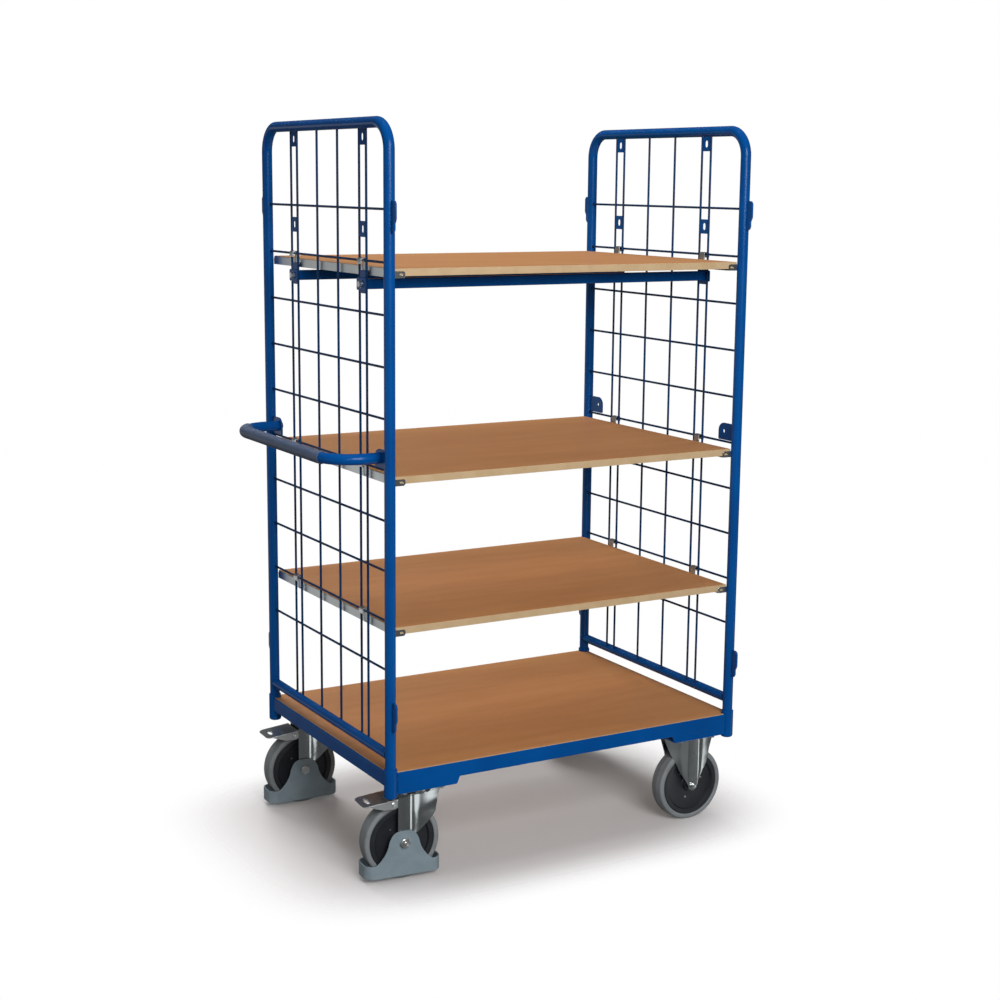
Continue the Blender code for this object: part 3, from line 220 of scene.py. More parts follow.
class Shading:
    """A node tree in the making."""

    def __init__(self, tree: bpy.types.NodeTree) -> None:
        """Start on a tree.

        Args:
            tree: the tree that takes the nodes.
        """
        self.tree = tree
        self.places = self.node("ShaderNodeTexCoord", {}, {}, "Object")

    def node(self, kind: str, settings: dict, sockets: dict, output: str | int = 0) -> Value:
        """Add a node.

        Args:
            kind: the node's type.
            settings: its own properties, set first.
            sockets: values or links of its inputs, by name or number.
            output: the output to return.

        Returns:
            The chosen output, ready for sums.
        """
        node = self.tree.nodes.new(kind)
        for name, setting in settings.items():
            setattr(node, name, setting)
        for name, value in sockets.items():
            self.feed(node.inputs[name], value)
        return Value(self, node.outputs[output])

    def feed(self, socket: bpy.types.NodeSocket, value: "Value | float | Sequence[float]") -> None:
        """Link a value to a socket, or set the socket to a constant.

        Args:
            socket: the input to feed.
            value: a link, a number, a colour or a direction.
        """
        if isinstance(value, Value):
            self.tree.links.new(value.socket, socket)
        elif socket.type == "RGBA":
            socket.default_value = (*value, 1.0) if len(value) == 3 else value
        else:
            socket.default_value = value

    def blend(self, factor: "Value | float", first: "Value | Colour", second: "Value | Colour") -> Value:
        """Mix two colours."""
        return self.node("ShaderNodeMix", {"data_type": "RGBA"}, {0: factor, 6: first, 7: second}, 2)

    def ray(self, kind: str) -> Value:
        """1 where the ray is of a kind, such as Is Camera Ray, and 0 elsewhere."""
        return self.node("ShaderNodeLightPath", {}, {}, kind)

    def shown(self, shader: Value, output: str) -> None:
        """Link a shader to the tree's output node."""
        self.tree.links.new(shader.socket, self.tree.nodes[output].inputs["Surface"])


class Surface(Shading):
    """A material in the making: its nodes and its Principled shader."""

    def __init__(self, name: str) -> None:
        """Start a material.

        Args:
            name: the material's name.
        """
        self.material = bpy.data.materials.new(name)
        self.material.use_nodes = True
        super().__init__(self.material.node_tree)
        self.shader = self.tree.nodes["Principled BSDF"]

    def set(self, **sockets: "Value | float | Sequence[float]") -> None:
        """Set the Principled shader's sockets, with underscores for spaces in their names."""
        for name, value in sockets.items():
            self.feed(self.shader.inputs[name.replace("_", " ")], value)

    def noise(self, scale: float, detail: float, stretch: Place = (1, 1, 1), rough: float = 0.5) -> Value:
        """Noise over the piece, in waves per metre, with each axis's scale multiplied by stretch.

        Args:
            scale: waves per metre.
            detail: how many finer layers are added.
            stretch: factors on the scale along X, Y and Z.
            rough: how strong the finer layers are.

        Returns:
            The noise, from 0 to 1.
        """
        mapped = self.node("ShaderNodeMapping", {}, {"Vector": self.places, "Scale": tuple(stretch)})
        sockets = {"Vector": mapped, "Scale": scale, "Detail": detail, "Roughness": rough}
        return self.node("ShaderNodeTexNoise", {}, sockets)

    def bump(self, height: Value, depth: float) -> None:
        """Raise the surface by a height from 0 to 1 times a depth in metres."""
        sockets = {"Height": height, "Distance": depth, "Strength": 1.0}
        self.set(Normal=self.node("ShaderNodeBump", {}, sockets, "Normal"))


@dataclass(frozen=True)
class Finish:
    """A finish, its slot in the record and its main values."""

    name: str
    slot: str
    base: Colour
    roughness: float

    def make(self) -> bpy.types.Material:
        """Build the material."""
        surface = Surface(self.name)
        self.dress(surface)
        return surface.material

    def dress(self, surface: Surface) -> None:
        """Lay the finish on a surface.

        Args:
            surface: the material in the making.
        """
        surface.set(Base_Color=self.base, Roughness=self.roughness)


@dataclass(frozen=True)
class PowderCoat(Finish):
    """Powder coat with a fine orange peel and slight changes of shade."""

    dark: Colour = (0.0, 0.0, 0.0)
    cloud_scale: float = 7.0
    cloud_edges: Point = (0.3, 0.7)
    gloss_scale: float = 60.0
    gloss_range: float = 0.10
    specular: float = 0.16
    peel_scale: float = 900.0
    peel_depth: float = 0.00004

    def dress(self, surface: Surface) -> None:
        """Lay the finish on a surface.

        Args:
            surface: the material in the making.
        """
        cloud = surface.noise(self.cloud_scale, 3).spread(*self.cloud_edges)
        peel = surface.noise(self.peel_scale, 1)
        gloss = surface.noise(self.gloss_scale, 3)
        surface.set(
            Base_Color=surface.blend(cloud, self.base, self.dark),
            Roughness=gloss * self.gloss_range + (self.roughness - self.gloss_range / 2),
            Specular_IOR_Level=self.specular,
        )
        surface.bump(peel, self.peel_depth)


@dataclass(frozen=True)
class BoardDecor(Finish):
    """Beech decor: long faint grain with short dark flecks, under a satin film. The grain runs along X."""

    light: Colour = (0.0, 0.0, 0.0)
    fleck: Colour = (0.0, 0.0, 0.0)
    wave_scale: float = 26.0
    wave_stretch: Place = (0.16, 1, 1)
    wave_edges: Point = (0.32, 0.68)
    fine_scale: float = 330.0
    fine_stretch: Place = (0.05, 1, 1)
    tick_scale: float = 520.0
    tick_edges: Point = (0.66, 0.74)
    tick_strength: float = 0.35
    cloud_scale: float = 1.7
    wave_share: float = 0.55
    fine_share: float = 0.30
    cloud_share: float = 0.30
    grain_base: float = -0.05
    gloss_range: float = 0.12
    fine_depth: float = 0.00003

    def dress(self, surface: Surface) -> None:
        """Lay the finish on a surface.

        Args:
            surface: the material in the making.
        """
        waves = surface.noise(self.wave_scale, 4, self.wave_stretch, 0.6).spread(*self.wave_edges)
        fine = surface.noise(self.fine_scale, 3, self.fine_stretch, 0.7)
        ticks = surface.noise(self.tick_scale, 1, self.wave_stretch).spread(*self.tick_edges)
        cloud = surface.noise(self.cloud_scale, 2)
        grain = waves * self.wave_share + fine * self.fine_share + cloud * self.cloud_share + self.grain_base
        wood = surface.blend(grain, self.base, self.light)
        surface.set(
            Base_Color=surface.blend(ticks * self.tick_strength, wood, self.fleck),
            Roughness=fine * self.gloss_range + (self.roughness - self.gloss_range / 2),
        )
        surface.bump(fine, self.fine_depth)


@dataclass(frozen=True)
class PlainPlastic(Finish):
    """Moulded plastic or rubber with a fine grain and faint clouds of shade."""

    second: Colour = (0.0, 0.0, 0.0)
    cloud_scale: float = 22.0
    cloud_edges: Point = (0.35, 0.7)
    grain_scale: float = 1400.0
    grain_depth: float = 0.00004
    gloss_range: float = 0.14

    def dress(self, surface: Surface) -> None:
        """Lay the finish on a surface.

        Args:
            surface: the material in the making.
        """
        cloud = surface.noise(self.cloud_scale, 4, rough=0.6).spread(*self.cloud_edges)
        grain = surface.noise(self.grain_scale, 2)
        surface.set(
            Base_Color=surface.blend(cloud, self.base, self.second),
            Roughness=grain * self.gloss_range + (self.roughness - self.gloss_range / 2),
        )
        surface.bump(grain, self.grain_depth)


@dataclass(frozen=True)
class ZincPlate(Finish):
    """Bright zinc over pressed steel: soft streaks and a slightly uneven shine."""

    shade: Colour = (0.0, 0.0, 0.0)
    patch_scale: float = 14.0
    patch_edges: Point = (0.2, 0.8)
    patch_gloss: float = 0.03
    streak_scale: float = 420.0
    streak_stretch: Place = (1.0, 1.0, 0.08)
    streak_gloss: float = 0.04
    streak_depth: float = 0.000004

    def dress(self, surface: Surface) -> None:
        """Lay the finish on a surface.

        Args:
            surface: the material in the making.
        """
        patches = surface.noise(self.patch_scale, 3).spread(*self.patch_edges)
        streaks = surface.noise(self.streak_scale, 2, self.streak_stretch)
        least = self.roughness - (self.patch_gloss + self.streak_gloss) / 2
        surface.set(
            Base_Color=surface.blend(patches, self.base, self.shade),
            Metallic=1.0,
            Roughness=patches * self.patch_gloss + streaks * self.streak_gloss + least,
        )
        surface.bump(streaks, self.streak_depth)


class Finishes:
    """The trolley's finishes, each made once."""

    BLUE = PowderCoat("blue_powder_coat", "blue_paint", colour(0, 76, 146), 0.2, dark=colour(0, 69, 136))
    WIRE_BLUE = PowderCoat("blue_wire_coat", "blue_paint", colour(10, 50, 92), 0.3, dark=colour(8, 44, 84))
    DECOR = BoardDecor(
        "beech_decor", "beech_board", colour(183, 125, 75), 0.42,
        light=colour(196, 139, 88), fleck=colour(146, 94, 54),
    )
    BAND = PlainPlastic(
        "beech_edge_band", "beech_board", colour(190, 163, 126), 0.5,
        second=colour(182, 154, 116), grain_scale=300,
    )
    ZINC = ZincPlate("bright_zinc", "zinc_steel", (0.53, 0.57, 0.58), 0.22, shade=(0.49, 0.53, 0.54))
    BOLT_ZINC = ZincPlate("bolt_zinc", "zinc_steel", (0.64, 0.66, 0.66), 0.34, shade=(0.57, 0.59, 0.59))
    PALE_ZINC = ZincPlate("pale_zinc", "zinc_steel", (0.78, 0.81, 0.81), 0.4, shade=(0.70, 0.73, 0.73))
    TYRE = PlainPlastic(
        "grey_rubber", "grey_tyre", colour(124, 129, 132), 0.62, second=colour(112, 116, 118), grain_scale=900,
    )
    CENTRE = PlainPlastic(
        "black_wheel_plastic", "black_plastic", colour(31, 34, 39), 0.42, second=colour(26, 28, 33),
    )
    GUARD = PlainPlastic(
        "grey_guard_plastic", "grey_plastic", colour(124, 138, 146), 0.5, second=colour(115, 130, 138),
    )
    GRIP = PlainPlastic(
        "grey_sleeve", "grip_plastic", colour(80, 94, 120), 0.5, second=colour(70, 85, 112),
    )

    made: dict[str, bpy.types.Material] = {}

    @classmethod
    def material(cls, finish: Finish) -> bpy.types.Material:
        """The finish's material, made at its first use.

        Args:
            finish: the finish to look up.

        Returns:
            The material.
        """
        if finish.name not in cls.made:
            cls.made[finish.name] = finish.make()
        return cls.made[finish.name]


# Outlines


def arc(
    centre_u: float, centre_v: float, radius: float, start: float, stop: float, steps: int,
) -> list[Point]:
    """Points on an arc between two angles in degrees.

    Args:
        centre_u: the centre's first coordinate.
        centre_v: the centre's second coordinate.
        radius: the arc's radius.
        start: the first angle.
        stop: the last angle.
        steps: how many equal steps lie between them.

    Returns:
        The points, with both ends.
    """
    angles = [radians(start + (stop - start) * i / steps) for i in range(steps + 1)]
    return [(centre_u + radius * cos(a), centre_v + radius * sin(a)) for a in angles]


def rounded(half_u: float, half_v: float, radius: float, steps: int) -> list[Point]:
    """A rectangle about the origin with round corners.

    Args:
        half_u: half its first size.
        half_v: half its second size.
        radius: the corners' radius.
        steps: steps in each corner.

    Returns:
        The outline.
    """
    u, v = half_u - radius, half_v - radius
    points = arc(u, v, radius, 0, 90, steps) + arc(-u, v, radius, 90, 180, steps)
    return points + arc(-u, -v, radius, 180, 270, steps) + arc(u, -v, radius, 270, 360, steps)


def ring(radius: float, centre_u: float = 0.0, centre_v: float = 0.0, sides: int = 24) -> list[Point]:
    """A round outline."""
    return arc(centre_u, centre_v, radius, 0, 360, sides)[:-1]


def shifted(points: Iterable[Point], move_u: float, move_v: float) -> list[Point]:
    """An outline moved in its own plane."""
    return [(u + move_u, v + move_v) for u, v in points]


def turned_outline(points: Iterable[Point], degrees: float) -> list[Point]:
    """An outline turned about the origin."""
    c, s = cos(radians(degrees)), sin(radians(degrees))
    return [(u * c - v * s, u * s + v * c) for u, v in points]


# Mesh making


class Form:
    """A mesh in the making, in the trolley's own middle."""

    doubles_within = 0.000002
    bevel_steps = 2

    def __init__(self, turn: Matrix | None = None) -> None:
        """Start an empty mesh.

        Args:
            turn: how the finished form is turned, such as with a swivel castor.
        """
        self.mesh = bmesh.new()
        self.turn = turn or Matrix.Identity(4)

    def box(self, low: Place, high: Place) -> "Form":
        """Add a box between two corners, given in any order.

        Args:
            low: one corner.
            high: the corner across from it.

        Returns:
            The form itself.
        """
        low, high = Vector(low), Vector(high)
        scale = Matrix.Diagonal((*(abs(part) for part in high - low), 1))
        bmesh.ops.create_cube(self.mesh, size=1, matrix=Matrix.Translation((low + high) / 2) @ scale)
        return self

    def rod(self, start: Place, end: Place, radius: float, sides: int) -> "Form":
        """Add a solid round bar between two points.

        Args:
            start: the middle of one end.
            end: the middle of the other.
            radius: its radius.
            sides: steps round it.

        Returns:
            The form itself.
        """
        start, end = Vector(start), Vector(end)
        turn = (end - start).to_track_quat("Z", "Y").to_matrix().to_4x4()
        bmesh.ops.create_cone(
            self.mesh, cap_ends=True, segments=sides, radius1=radius, radius2=radius,
            depth=(end - start).length, matrix=Matrix.Translation((start + end) / 2) @ turn,
        )
        return self

    def bead(self, centre: Place, size: Place) -> "Form":
        """Add a small weld bead, an ellipsoid with three half sizes.

        Args:
            centre: its middle.
            size: its half sizes.

        Returns:
            The form itself.
        """
        matrix = Matrix.Translation(Vector(centre)) @ Matrix.Diagonal((*size, 1))
        bmesh.ops.create_icosphere(self.mesh, subdivisions=1, radius=1, matrix=matrix)
        return self

    def plate(
        self, outline: Sequence[Point], origin: Place, across: Place, up: Place, thickness: float,
        holes: Iterable[Sequence[Point]] = (),
    ) -> "Form":
        """Add a flat plate.

        Args:
            outline: its edge, in (across, up) lengths.
            origin: the outline's zero point.
            across: the outline's first direction.
            up: the outline's second direction.
            thickness: how far it is drawn out along across x up.
            holes: outlines of its holes.

        Returns:
            The form itself.
        """
        origin, across, up = Vector(origin), Vector(across), Vector(up)
        edges = []
        loops = [outline, *holes]
        for loop in loops:
            verts = [self.mesh.verts.new(origin + across * u + up * v) for u, v in loop]
            edges += [self.mesh.edges.new((verts[i - 1], verts[i])) for i in range(len(verts))]
        if len(loops) == 1:
            faces = bmesh.ops.contextual_create(self.mesh, geom=edges)["faces"]
        else:
            normal = across.cross(up)
            filled = bmesh.ops.triangle_fill(self.mesh, edges=edges, use_beauty=True, normal=normal)
            faces = [item for item in filled["geom"] if isinstance(item, bmesh.types.BMFace)]
        grown = bmesh.ops.extrude_face_region(self.mesh, geom=faces)["geom"]
        moved = [item for item in grown if isinstance(item, bmesh.types.BMVert)]
        bmesh.ops.translate(self.mesh, verts=moved, vec=across.cross(up) * thickness)
        return self

    def turned(self, profile: Sequence[Point], centre: Place, axis: Place, sides: int) -> "Form":
        """Add a turned body.

        Args:
            profile: (radius, place along the axis) points, closed or with both ends on the axis.
            centre: a point on the axis.
            axis: the axis's direction.
            sides: steps round the axis.

        Returns:
            The form itself.
        """
        centre, axis = Vector(centre), Vector(axis).normalized()
        out = Vector((1, 0, 0)) if abs(axis.z) > 0.5 else Vector((0, 0, 1))
        out = (out - axis * out.dot(axis)).normalized()
        verts = [self.mesh.verts.new(centre + out * r + axis * along) for r, along in profile]
        edges = [self.mesh.edges.new(pair) for pair in zip(verts, verts[1:])]
        if profile[0][0] > 0:
            edges.append(self.mesh.edges.new((verts[-1], verts[0])))
        bmesh.ops.spin(
            self.mesh, geom=verts + edges, cent=centre, axis=axis, angle=2 * pi,
            steps=sides, use_merge=True, use_duplicate=False,
        )
        return self

    def loft(self, loops: Sequence[Sequence[Place]]) -> "Form":
        """Add a solid through closed sections of equal point counts, with both ends closed.

        Args:
            loops: the sections, in order.

        Returns:
            The form itself.
        """
        chains = []
        for loop in loops:
            verts = [self.mesh.verts.new(point) for point in loop]
            chains.append([self.mesh.edges.new((verts[i - 1], verts[i])) for i in range(len(verts))])
        for low, high in zip(chains, chains[1:]):
            bmesh.ops.bridge_loops(self.mesh, edges=low + high)
        for chain in (chains[0], chains[-1]):
            bmesh.ops.contextual_create(self.mesh, geom=chain)
        return self

    def publish(
        self, name: str, finish: Finish, body: str, *replaced: str, soften: float = 0.0, flat: float = 32.0,
    ) -> bpy.types.Object:
        """Turn the form into a finished piece.

        Args:
            name: the piece's name.
            finish: its finish.
            body: the frame body that it rides on.
            replaced: the frame nodes that it stands for.
            soften: the width of the small bevel on its edges, or 0.
            flat: the angle in degrees over which an edge stays sharp.

        Returns:
            The piece.
        """
        bmesh.ops.remove_doubles(self.mesh, verts=self.mesh.verts, dist=self.doubles_within)
        bmesh.ops.recalc_face_normals(self.mesh, faces=self.mesh.faces)
        place = Matrix.Translation((SIZES.middle_x, 0, 0)) @ self.turn
        bmesh.ops.transform(self.mesh, matrix=place, verts=self.mesh.verts)
        label = f"{name}_finished" if name in replaced else name
        mesh = bpy.data.meshes.new(label)
        self.mesh.to_mesh(mesh)
        self.mesh.free()
        mesh.materials.append(Finishes.material(finish))
        mesh.shade_smooth()
        mesh.set_sharp_from_angle(angle=radians(flat))
        piece = bpy.data.objects.new(label, mesh)
        bpy.context.collection.objects.link(piece)
        if soften:
            bevel = piece.modifiers.new("softened_edges", "BEVEL")
            bevel.width = soften
            bevel.segments = self.bevel_steps
            bevel.limit_method = "ANGLE"
            bevel.angle_limit = radians(flat)
            bevel.harden_normals = True
        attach(piece, body)
        if replaced:
            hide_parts(*replaced)
        log.info("%s: %s on %s", label, finish.name, body)
        return piece


class BentTube:
    """Draws a hollow round tube along straight runs and bends."""

    def __init__(
        self, form: Form, start: Place, heading: Place, radius: float, bore: float, sides: int,
    ) -> None:
        """Start a tube.

        Args:
            form: the form that takes the tube.
            start: the middle of its first end.
            heading: the direction it sets off in.
            radius: its outer radius.
            bore: its inner radius.
            sides: steps round it.
        """
        self.mesh = form.mesh
        self.place = Vector(start)
        self.heading = Vector(heading)
        turn = self.heading.to_track_quat("Z", "Y").to_matrix().to_4x4()
        matrix = Matrix.Translation(self.place) @ turn
        edges = []
        for size in (radius, bore):
            circle = bmesh.ops.create_circle(self.mesh, segments=sides, radius=size, matrix=matrix)
            edges += list({edge for vert in circle["verts"] for edge in vert.link_edges})
        self.faces = bmesh.ops.bridge_loops(self.mesh, edges=edges)["faces"]
        self.started = False

    def _move_end(self, grown: Iterable) -> None:
        """Take the grown faces as the tube's end, and clear what would be left inside it.

        Args:
            grown: what the last step made.
        """
        if self.started:
            inner = [face for face in self.faces if face.is_valid]
            bmesh.ops.delete(self.mesh, geom=inner, context="FACES_KEEP_BOUNDARY")
        self.started = True
        self.faces = [item for item in grown if isinstance(item, bmesh.types.BMFace)]

    def straight(self, length: float) -> "BentTube":
        """Run on for a length.

        Args:
            length: how far.

        Returns:
            The tube itself.
        """
        grown = bmesh.ops.extrude_face_region(self.mesh, geom=self.faces)["geom"]
        verts = [item for item in grown if isinstance(item, bmesh.types.BMVert)]
        bmesh.ops.translate(self.mesh, verts=verts, vec=self.heading * length)
        self._move_end(grown)
        self.place = self.place + self.heading * length
        return self

    def bend(self, degrees: float, bend_radius: float, towards: Place, steps: int) -> "BentTube":
        """Turn towards a direction that is square to the heading.

        Args:
            degrees: how far it turns.
            bend_radius: the radius of its middle line.
            towards: the direction it turns to.
            steps: steps in the bend.

        Returns:
            The tube itself.
        """
        towards = Vector(towards)
        centre = self.place + towards * bend_radius
        axis = self.heading.cross(towards)
        grown = bmesh.ops.spin(
            self.mesh, geom=self.faces, cent=centre, axis=axis, angle=radians(degrees), steps=steps,
            use_duplicate=False,
        )["geom_last"]
        self._move_end(grown)
        turn = Matrix.Rotation(radians(degrees), 3, axis)
        self.place = centre + turn @ (self.place - centre)
        self.heading = turn @ self.heading
        return self


@dataclass(frozen=True)
class Bolt:
    """A hexagon bolt: head, washer, and where it comes through, a nut and a thread end.

    thread, corner and washer are radii, and head is a height. The chamfer and the thread's depth are shares.
    """

    thread: float
    corner: float
    head: float
    washer: float = 0.0
    washer_height: float = 0.0012
    chamfer: float = 0.12
    chamfer_foot: float = 0.90
    chamfer_top: float = 0.80
    pitch: float = 0.0012
    root: float = 0.86
    tip: float = 0.80

    def hexagon(self, form: Form, base: Place, axis: Place, height: float, turn: float) -> None:
        """Add a hexagon with a chamfered top, standing on base along axis.

        Args:
            form: the form that takes it.
            base: the middle of the seat.
            axis: the direction it stands in.
            height: its height.
            turn: the hexagon's turn in degrees.
        """
        base, axis = Vector(base), Vector(axis).normalized()
        across = axis.orthogonal().normalized()
        up = axis.cross(across)
        straight, slope = height * (1 - self.chamfer), height * self.chamfer
        form.plate(turned_outline(ring(self.corner, sides=6), turn), base, across, up, straight)
        crown = [(0, 0), (self.corner * self.chamfer_foot, 0), (self.corner * self.chamfer_top, slope), (0, slope)]
        form.turned(crown, base + axis * straight, axis, 24)

    def head_on(self, form: Form, base: Place, axis: Place, turn: float = 10.0) -> None:
        """Add the head, with its washer, standing on base along axis.

        Args:
            form: the form that takes it.
            base: the middle of the seat.
            axis: the direction it stands in.
            turn: the hexagon's turn in degrees.
        """
        base, axis = Vector(base), Vector(axis).normalized()
        if self.washer:
            edge = [(0, 0), (self.washer, 0), (self.washer, self.washer_height), (0, self.washer_height)]
            form.turned(edge, base, axis, 32)
            base = base + axis * self.washer_height
        self.hexagon(form, base, axis, self.head, turn)

    def nut_on(self, form: Form, base: Place, axis: Place, stub: float, turn: float) -> None:
        """Add the nut, standing on base along axis, with a stub of thread beyond it.

        Args:
            form: the form that takes it.
            base: the middle of the seat.
            axis: the direction it stands in.
            stub: the thread's length beyond the nut.
            turn: the hexagon's turn in degrees.
        """
        base, axis = Vector(base), Vector(axis).normalized()
        self.head_on(form, base, axis, turn)
        top = self.head + (self.washer_height if self.washer else 0.0)
        turns = max(2, round(stub / self.pitch))
        profile = [(0, 0)]
        for i in range(turns):
            profile += [(self.thread * self.root, stub * i / turns), (self.thread, stub * (i + 0.5) / turns)]
        profile += [(self.thread * self.tip, stub), (0, stub)]
        form.turned(profile, base + axis * top, axis, 20)


# Base


@dataclass
class BaseFrame:
    """Rails, corner sockets and castor mounting plates: one welded and powder-coated unit."""

    ledge: float = 0.018
    ledge_thickness: float = 0.003
    rail_foot_chamfer: float = 0.0012
    rail_top_chamfer: float = 0.0014
    rail_overlap: float = 0.001
    socket_floor: float = 0.004
    socket_rim: float = 0.0008
    foot_rounding: float = 0.006
    mount_length: float = 0.191
    mount_width: float = 0.128
    mount_slant: float = 0.0085
    mount_overlap: float = 0.0005
    flange_overlap: float = 0.0011
    bolt_hole: float = 0.0043
    seam_stand: float = 0.0003
    seam_step: float = 0.0021
    seam_start: float = 0.7
    seam_lean: float = 0.42
    seam_size: Place = (0.0018, 0.0018, 0.0016)

    def build(self) -> None:
        """Build the base."""
        for side in Side:
            self.rail(f"base_rail_{side.word}", side.value, along_x=True)
        for end in End:
            self.rail(f"base_rail_{end.word}", end.value, along_x=False)
            for side in Side:
                self.socket(end, side)
                self.mount(end, side)

    def rail(self, name: str, sign: int, along_x: bool) -> None:
        """Add one rail: an upright strip with a rolled top and bottom edge and a ledge inside.

        Args:
            name: the rail's name.
            sign: the side or end that it lies on.
            along_x: whether it runs along the trolley.
        """
        s = SIZES
        top = s.deck_top - s.board - s.gap
        wall, foot_cut, top_cut = s.rail_wall, self.rail_foot_chamfer, self.rail_top_chamfer
        profile = [(foot_cut, s.rail_bottom), (0, s.rail_bottom + foot_cut), (0, s.rail_top - top_cut)]
        profile += [(top_cut, s.rail_top), (wall, s.rail_top), (wall, top)]
        profile += [(wall + self.ledge, top), (wall + self.ledge, top - self.ledge_thickness)]
        profile += [(wall, top - self.ledge_thickness), (wall, s.rail_bottom)]
        form = Form()
        if along_x:
            half = s.post_x - s.socket_radius + self.rail_overlap
            form.plate(profile, (-half, sign * s.rail_y, 0), (0, -sign, 0), (0, 0, 1), -sign * 2 * half)
        else:
            half = s.post_y - s.socket_radius + self.rail_overlap
            form.plate(profile, (sign * s.rail_x, -half, 0), (-sign, 0, 0), (0, 0, 1), sign * 2 * half)
        form.publish(name, Finishes.BLUE, "frame", name, soften=0.0006)

    def socket(self, end: End, side: Side) -> None:
        """Add one corner socket with its rounded foot and weld seams to the rails.

        Args:
            end: which end of the trolley.
            side: which side of the trolley.
        """
        s = SIZES
        x, y = end.value * s.post_x, side.value * s.post_y
        outer, bore, rim = s.socket_radius, s.tube + s.gap, self.socket_rim
        low, top = s.socket_bottom, s.socket_top
        foot = arc(outer - self.foot_rounding, low + self.foot_rounding, self.foot_rounding, -90, 0, 6)
        profile = [(0, low), *foot, (outer, top - rim), (outer - rim, top), (bore, top)]
        profile += [(bore, low + self.socket_floor), (0, low + self.socket_floor)]
        form = Form().turned(profile, (x, y, 0), (0, 0, 1), 48)
        name = f"{end.word}_socket_{side.word}"
        form.publish(name, Finishes.BLUE, "frame", name)
        seams = Form()
        for dx, dy, start in (
            (-end.value, side.value * self.seam_lean, s.mount_bottom),
            (end.value * self.seam_lean, -side.value, s.rail_bottom),
        ):
            reach = (outer + self.seam_stand) / sqrt(dx * dx + dy * dy)
            for i in range(int((s.rail_top - start) / self.seam_step)):
                z = start + (i + self.seam_start) * self.seam_step
                seams.bead((x + dx * reach, y + dy * reach, z), self.seam_size)
        seams.publish(f"{name}_weld_seams", Finishes.BLUE, "frame", flat=80)

    def mount(self, end: End, side: Side) -> None:
        """Add one castor mount: a plate folded up at its outer edge into a flange under the rail.

        Args:
            end: which end of the trolley.
            side: which side of the trolley.
        """
        s = SIZES
        length, width, wall = self.mount_length, self.mount_width, s.rail_wall
        start = s.post_x - s.socket_radius + self.mount_overlap - s.rail_x
        thickness = s.mount_top - s.mount_bottom
        height = s.rail_bottom - s.mount_bottom + self.flange_overlap
        outline = [(-length, -width), (start, -width), (start, -wall), (-length, -wall)]
        flange = [(start, 0.0), (start, height), (-length - self.mount_slant, height), (-length, 0.0)]
        u, v = s.castor_x - s.rail_x, s.castor_y - s.rail_y
        holes = [ring(self.bolt_hole, u + x, v + y) for x, y in s.castor_bolts()]
        corner = (end.value * s.rail_x, side.value * s.rail_y, s.mount_bottom)
        across, way = (end.value, 0, 0), end.value * side.value
        form = Form().plate(outline, corner, across, (0, side.value, 0), way * thickness, holes)
        form.plate(flange, corner, across, (0, 0, 1), way * wall)
        name = f"{end.word}_castor_mount_{side.word}"
        form.publish(name, Finishes.BLUE, "frame", name, soften=0.0003)


@dataclass
class Board:
    """A beech decor board with an edge band glued round it."""

    band: float = 0.0012
    proud: float = 0.0001

    def publish(self, name: str, outline: Sequence[Point], top: float, *replaced: str) -> None:
        """Add a board.

        Args:
            name: the board's name.
            outline: its edge, counter-clockwise.
            top: the height of its upper face.
            replaced: the frame nodes that it stands for.
        """
        inner = self.inset(outline, self.band)
        low, thick, x_way, y_way = top - SIZES.board, SIZES.board, (1, 0, 0), (0, 1, 0)
        board = Form().plate(inner, (0, 0, low), x_way, y_way, thick)
        board.publish(name, Finishes.DECOR, "frame", *replaced)
        band = Form().plate(outline, (0, 0, low + self.proud), x_way, y_way, thick - 2 * self.proud, [inner])
        band.publish(f"{name}_edge_band", Finishes.BAND, "frame", soften=0.0005)

    @staticmethod
    def inset(outline: Sequence[Point], width: float) -> list[Point]:
        """The outline moved inwards by a width.

        Args:
            outline: the outline's points, in order.
            width: how far it moves.

        Returns:
            The new points.
        """
        moved = []
        for i, point in enumerate(outline):
            before, after = Vector(outline[i - 1]), Vector(outline[(i + 1) % len(outline)])
            here = Vector(point)
            first, second = (here - before).normalized(), (after - here).normalized()
            normal = Vector((-first.y - second.y, first.x + second.x)).normalized()
            turn = max(0.5, normal.dot(Vector((-first.y, first.x))))
            moved.append(tuple(here + normal * width / turn))
        return moved


@dataclass
class Deck:
    """The deck board in the base frame, cut out round the corner sockets."""

    socket_clearance: float = 0.0006
    board: Board = field(default_factory=Board)

    def build(self) -> None:
        """Build the deck."""
        s = SIZES
        half_x, half_y = s.rail_x - s.rail_wall - s.gap, s.rail_y - s.rail_wall - s.gap
        notch = s.socket_radius + self.socket_clearance
        at_side = sqrt(notch ** 2 - (half_y - s.post_y) ** 2)
        at_end = sqrt(notch ** 2 - (half_x - s.post_x) ** 2)
        start = 180 - atan2(half_y - s.post_y, at_side) * 180 / pi
        stop = 270 + atan2(half_x - s.post_x, at_end) * 180 / pi
        corner = arc(s.post_x, s.post_y, notch, start, stop, 12)
        outline = [(-u, v) for u, v in corner] + [(-u, -v) for u, v in reversed(corner)]
        outline += [(u, -v) for u, v in corner] + corner[::-1]
        self.board.publish("deck_board", outline, s.deck_top, "deck_board")


# End frames


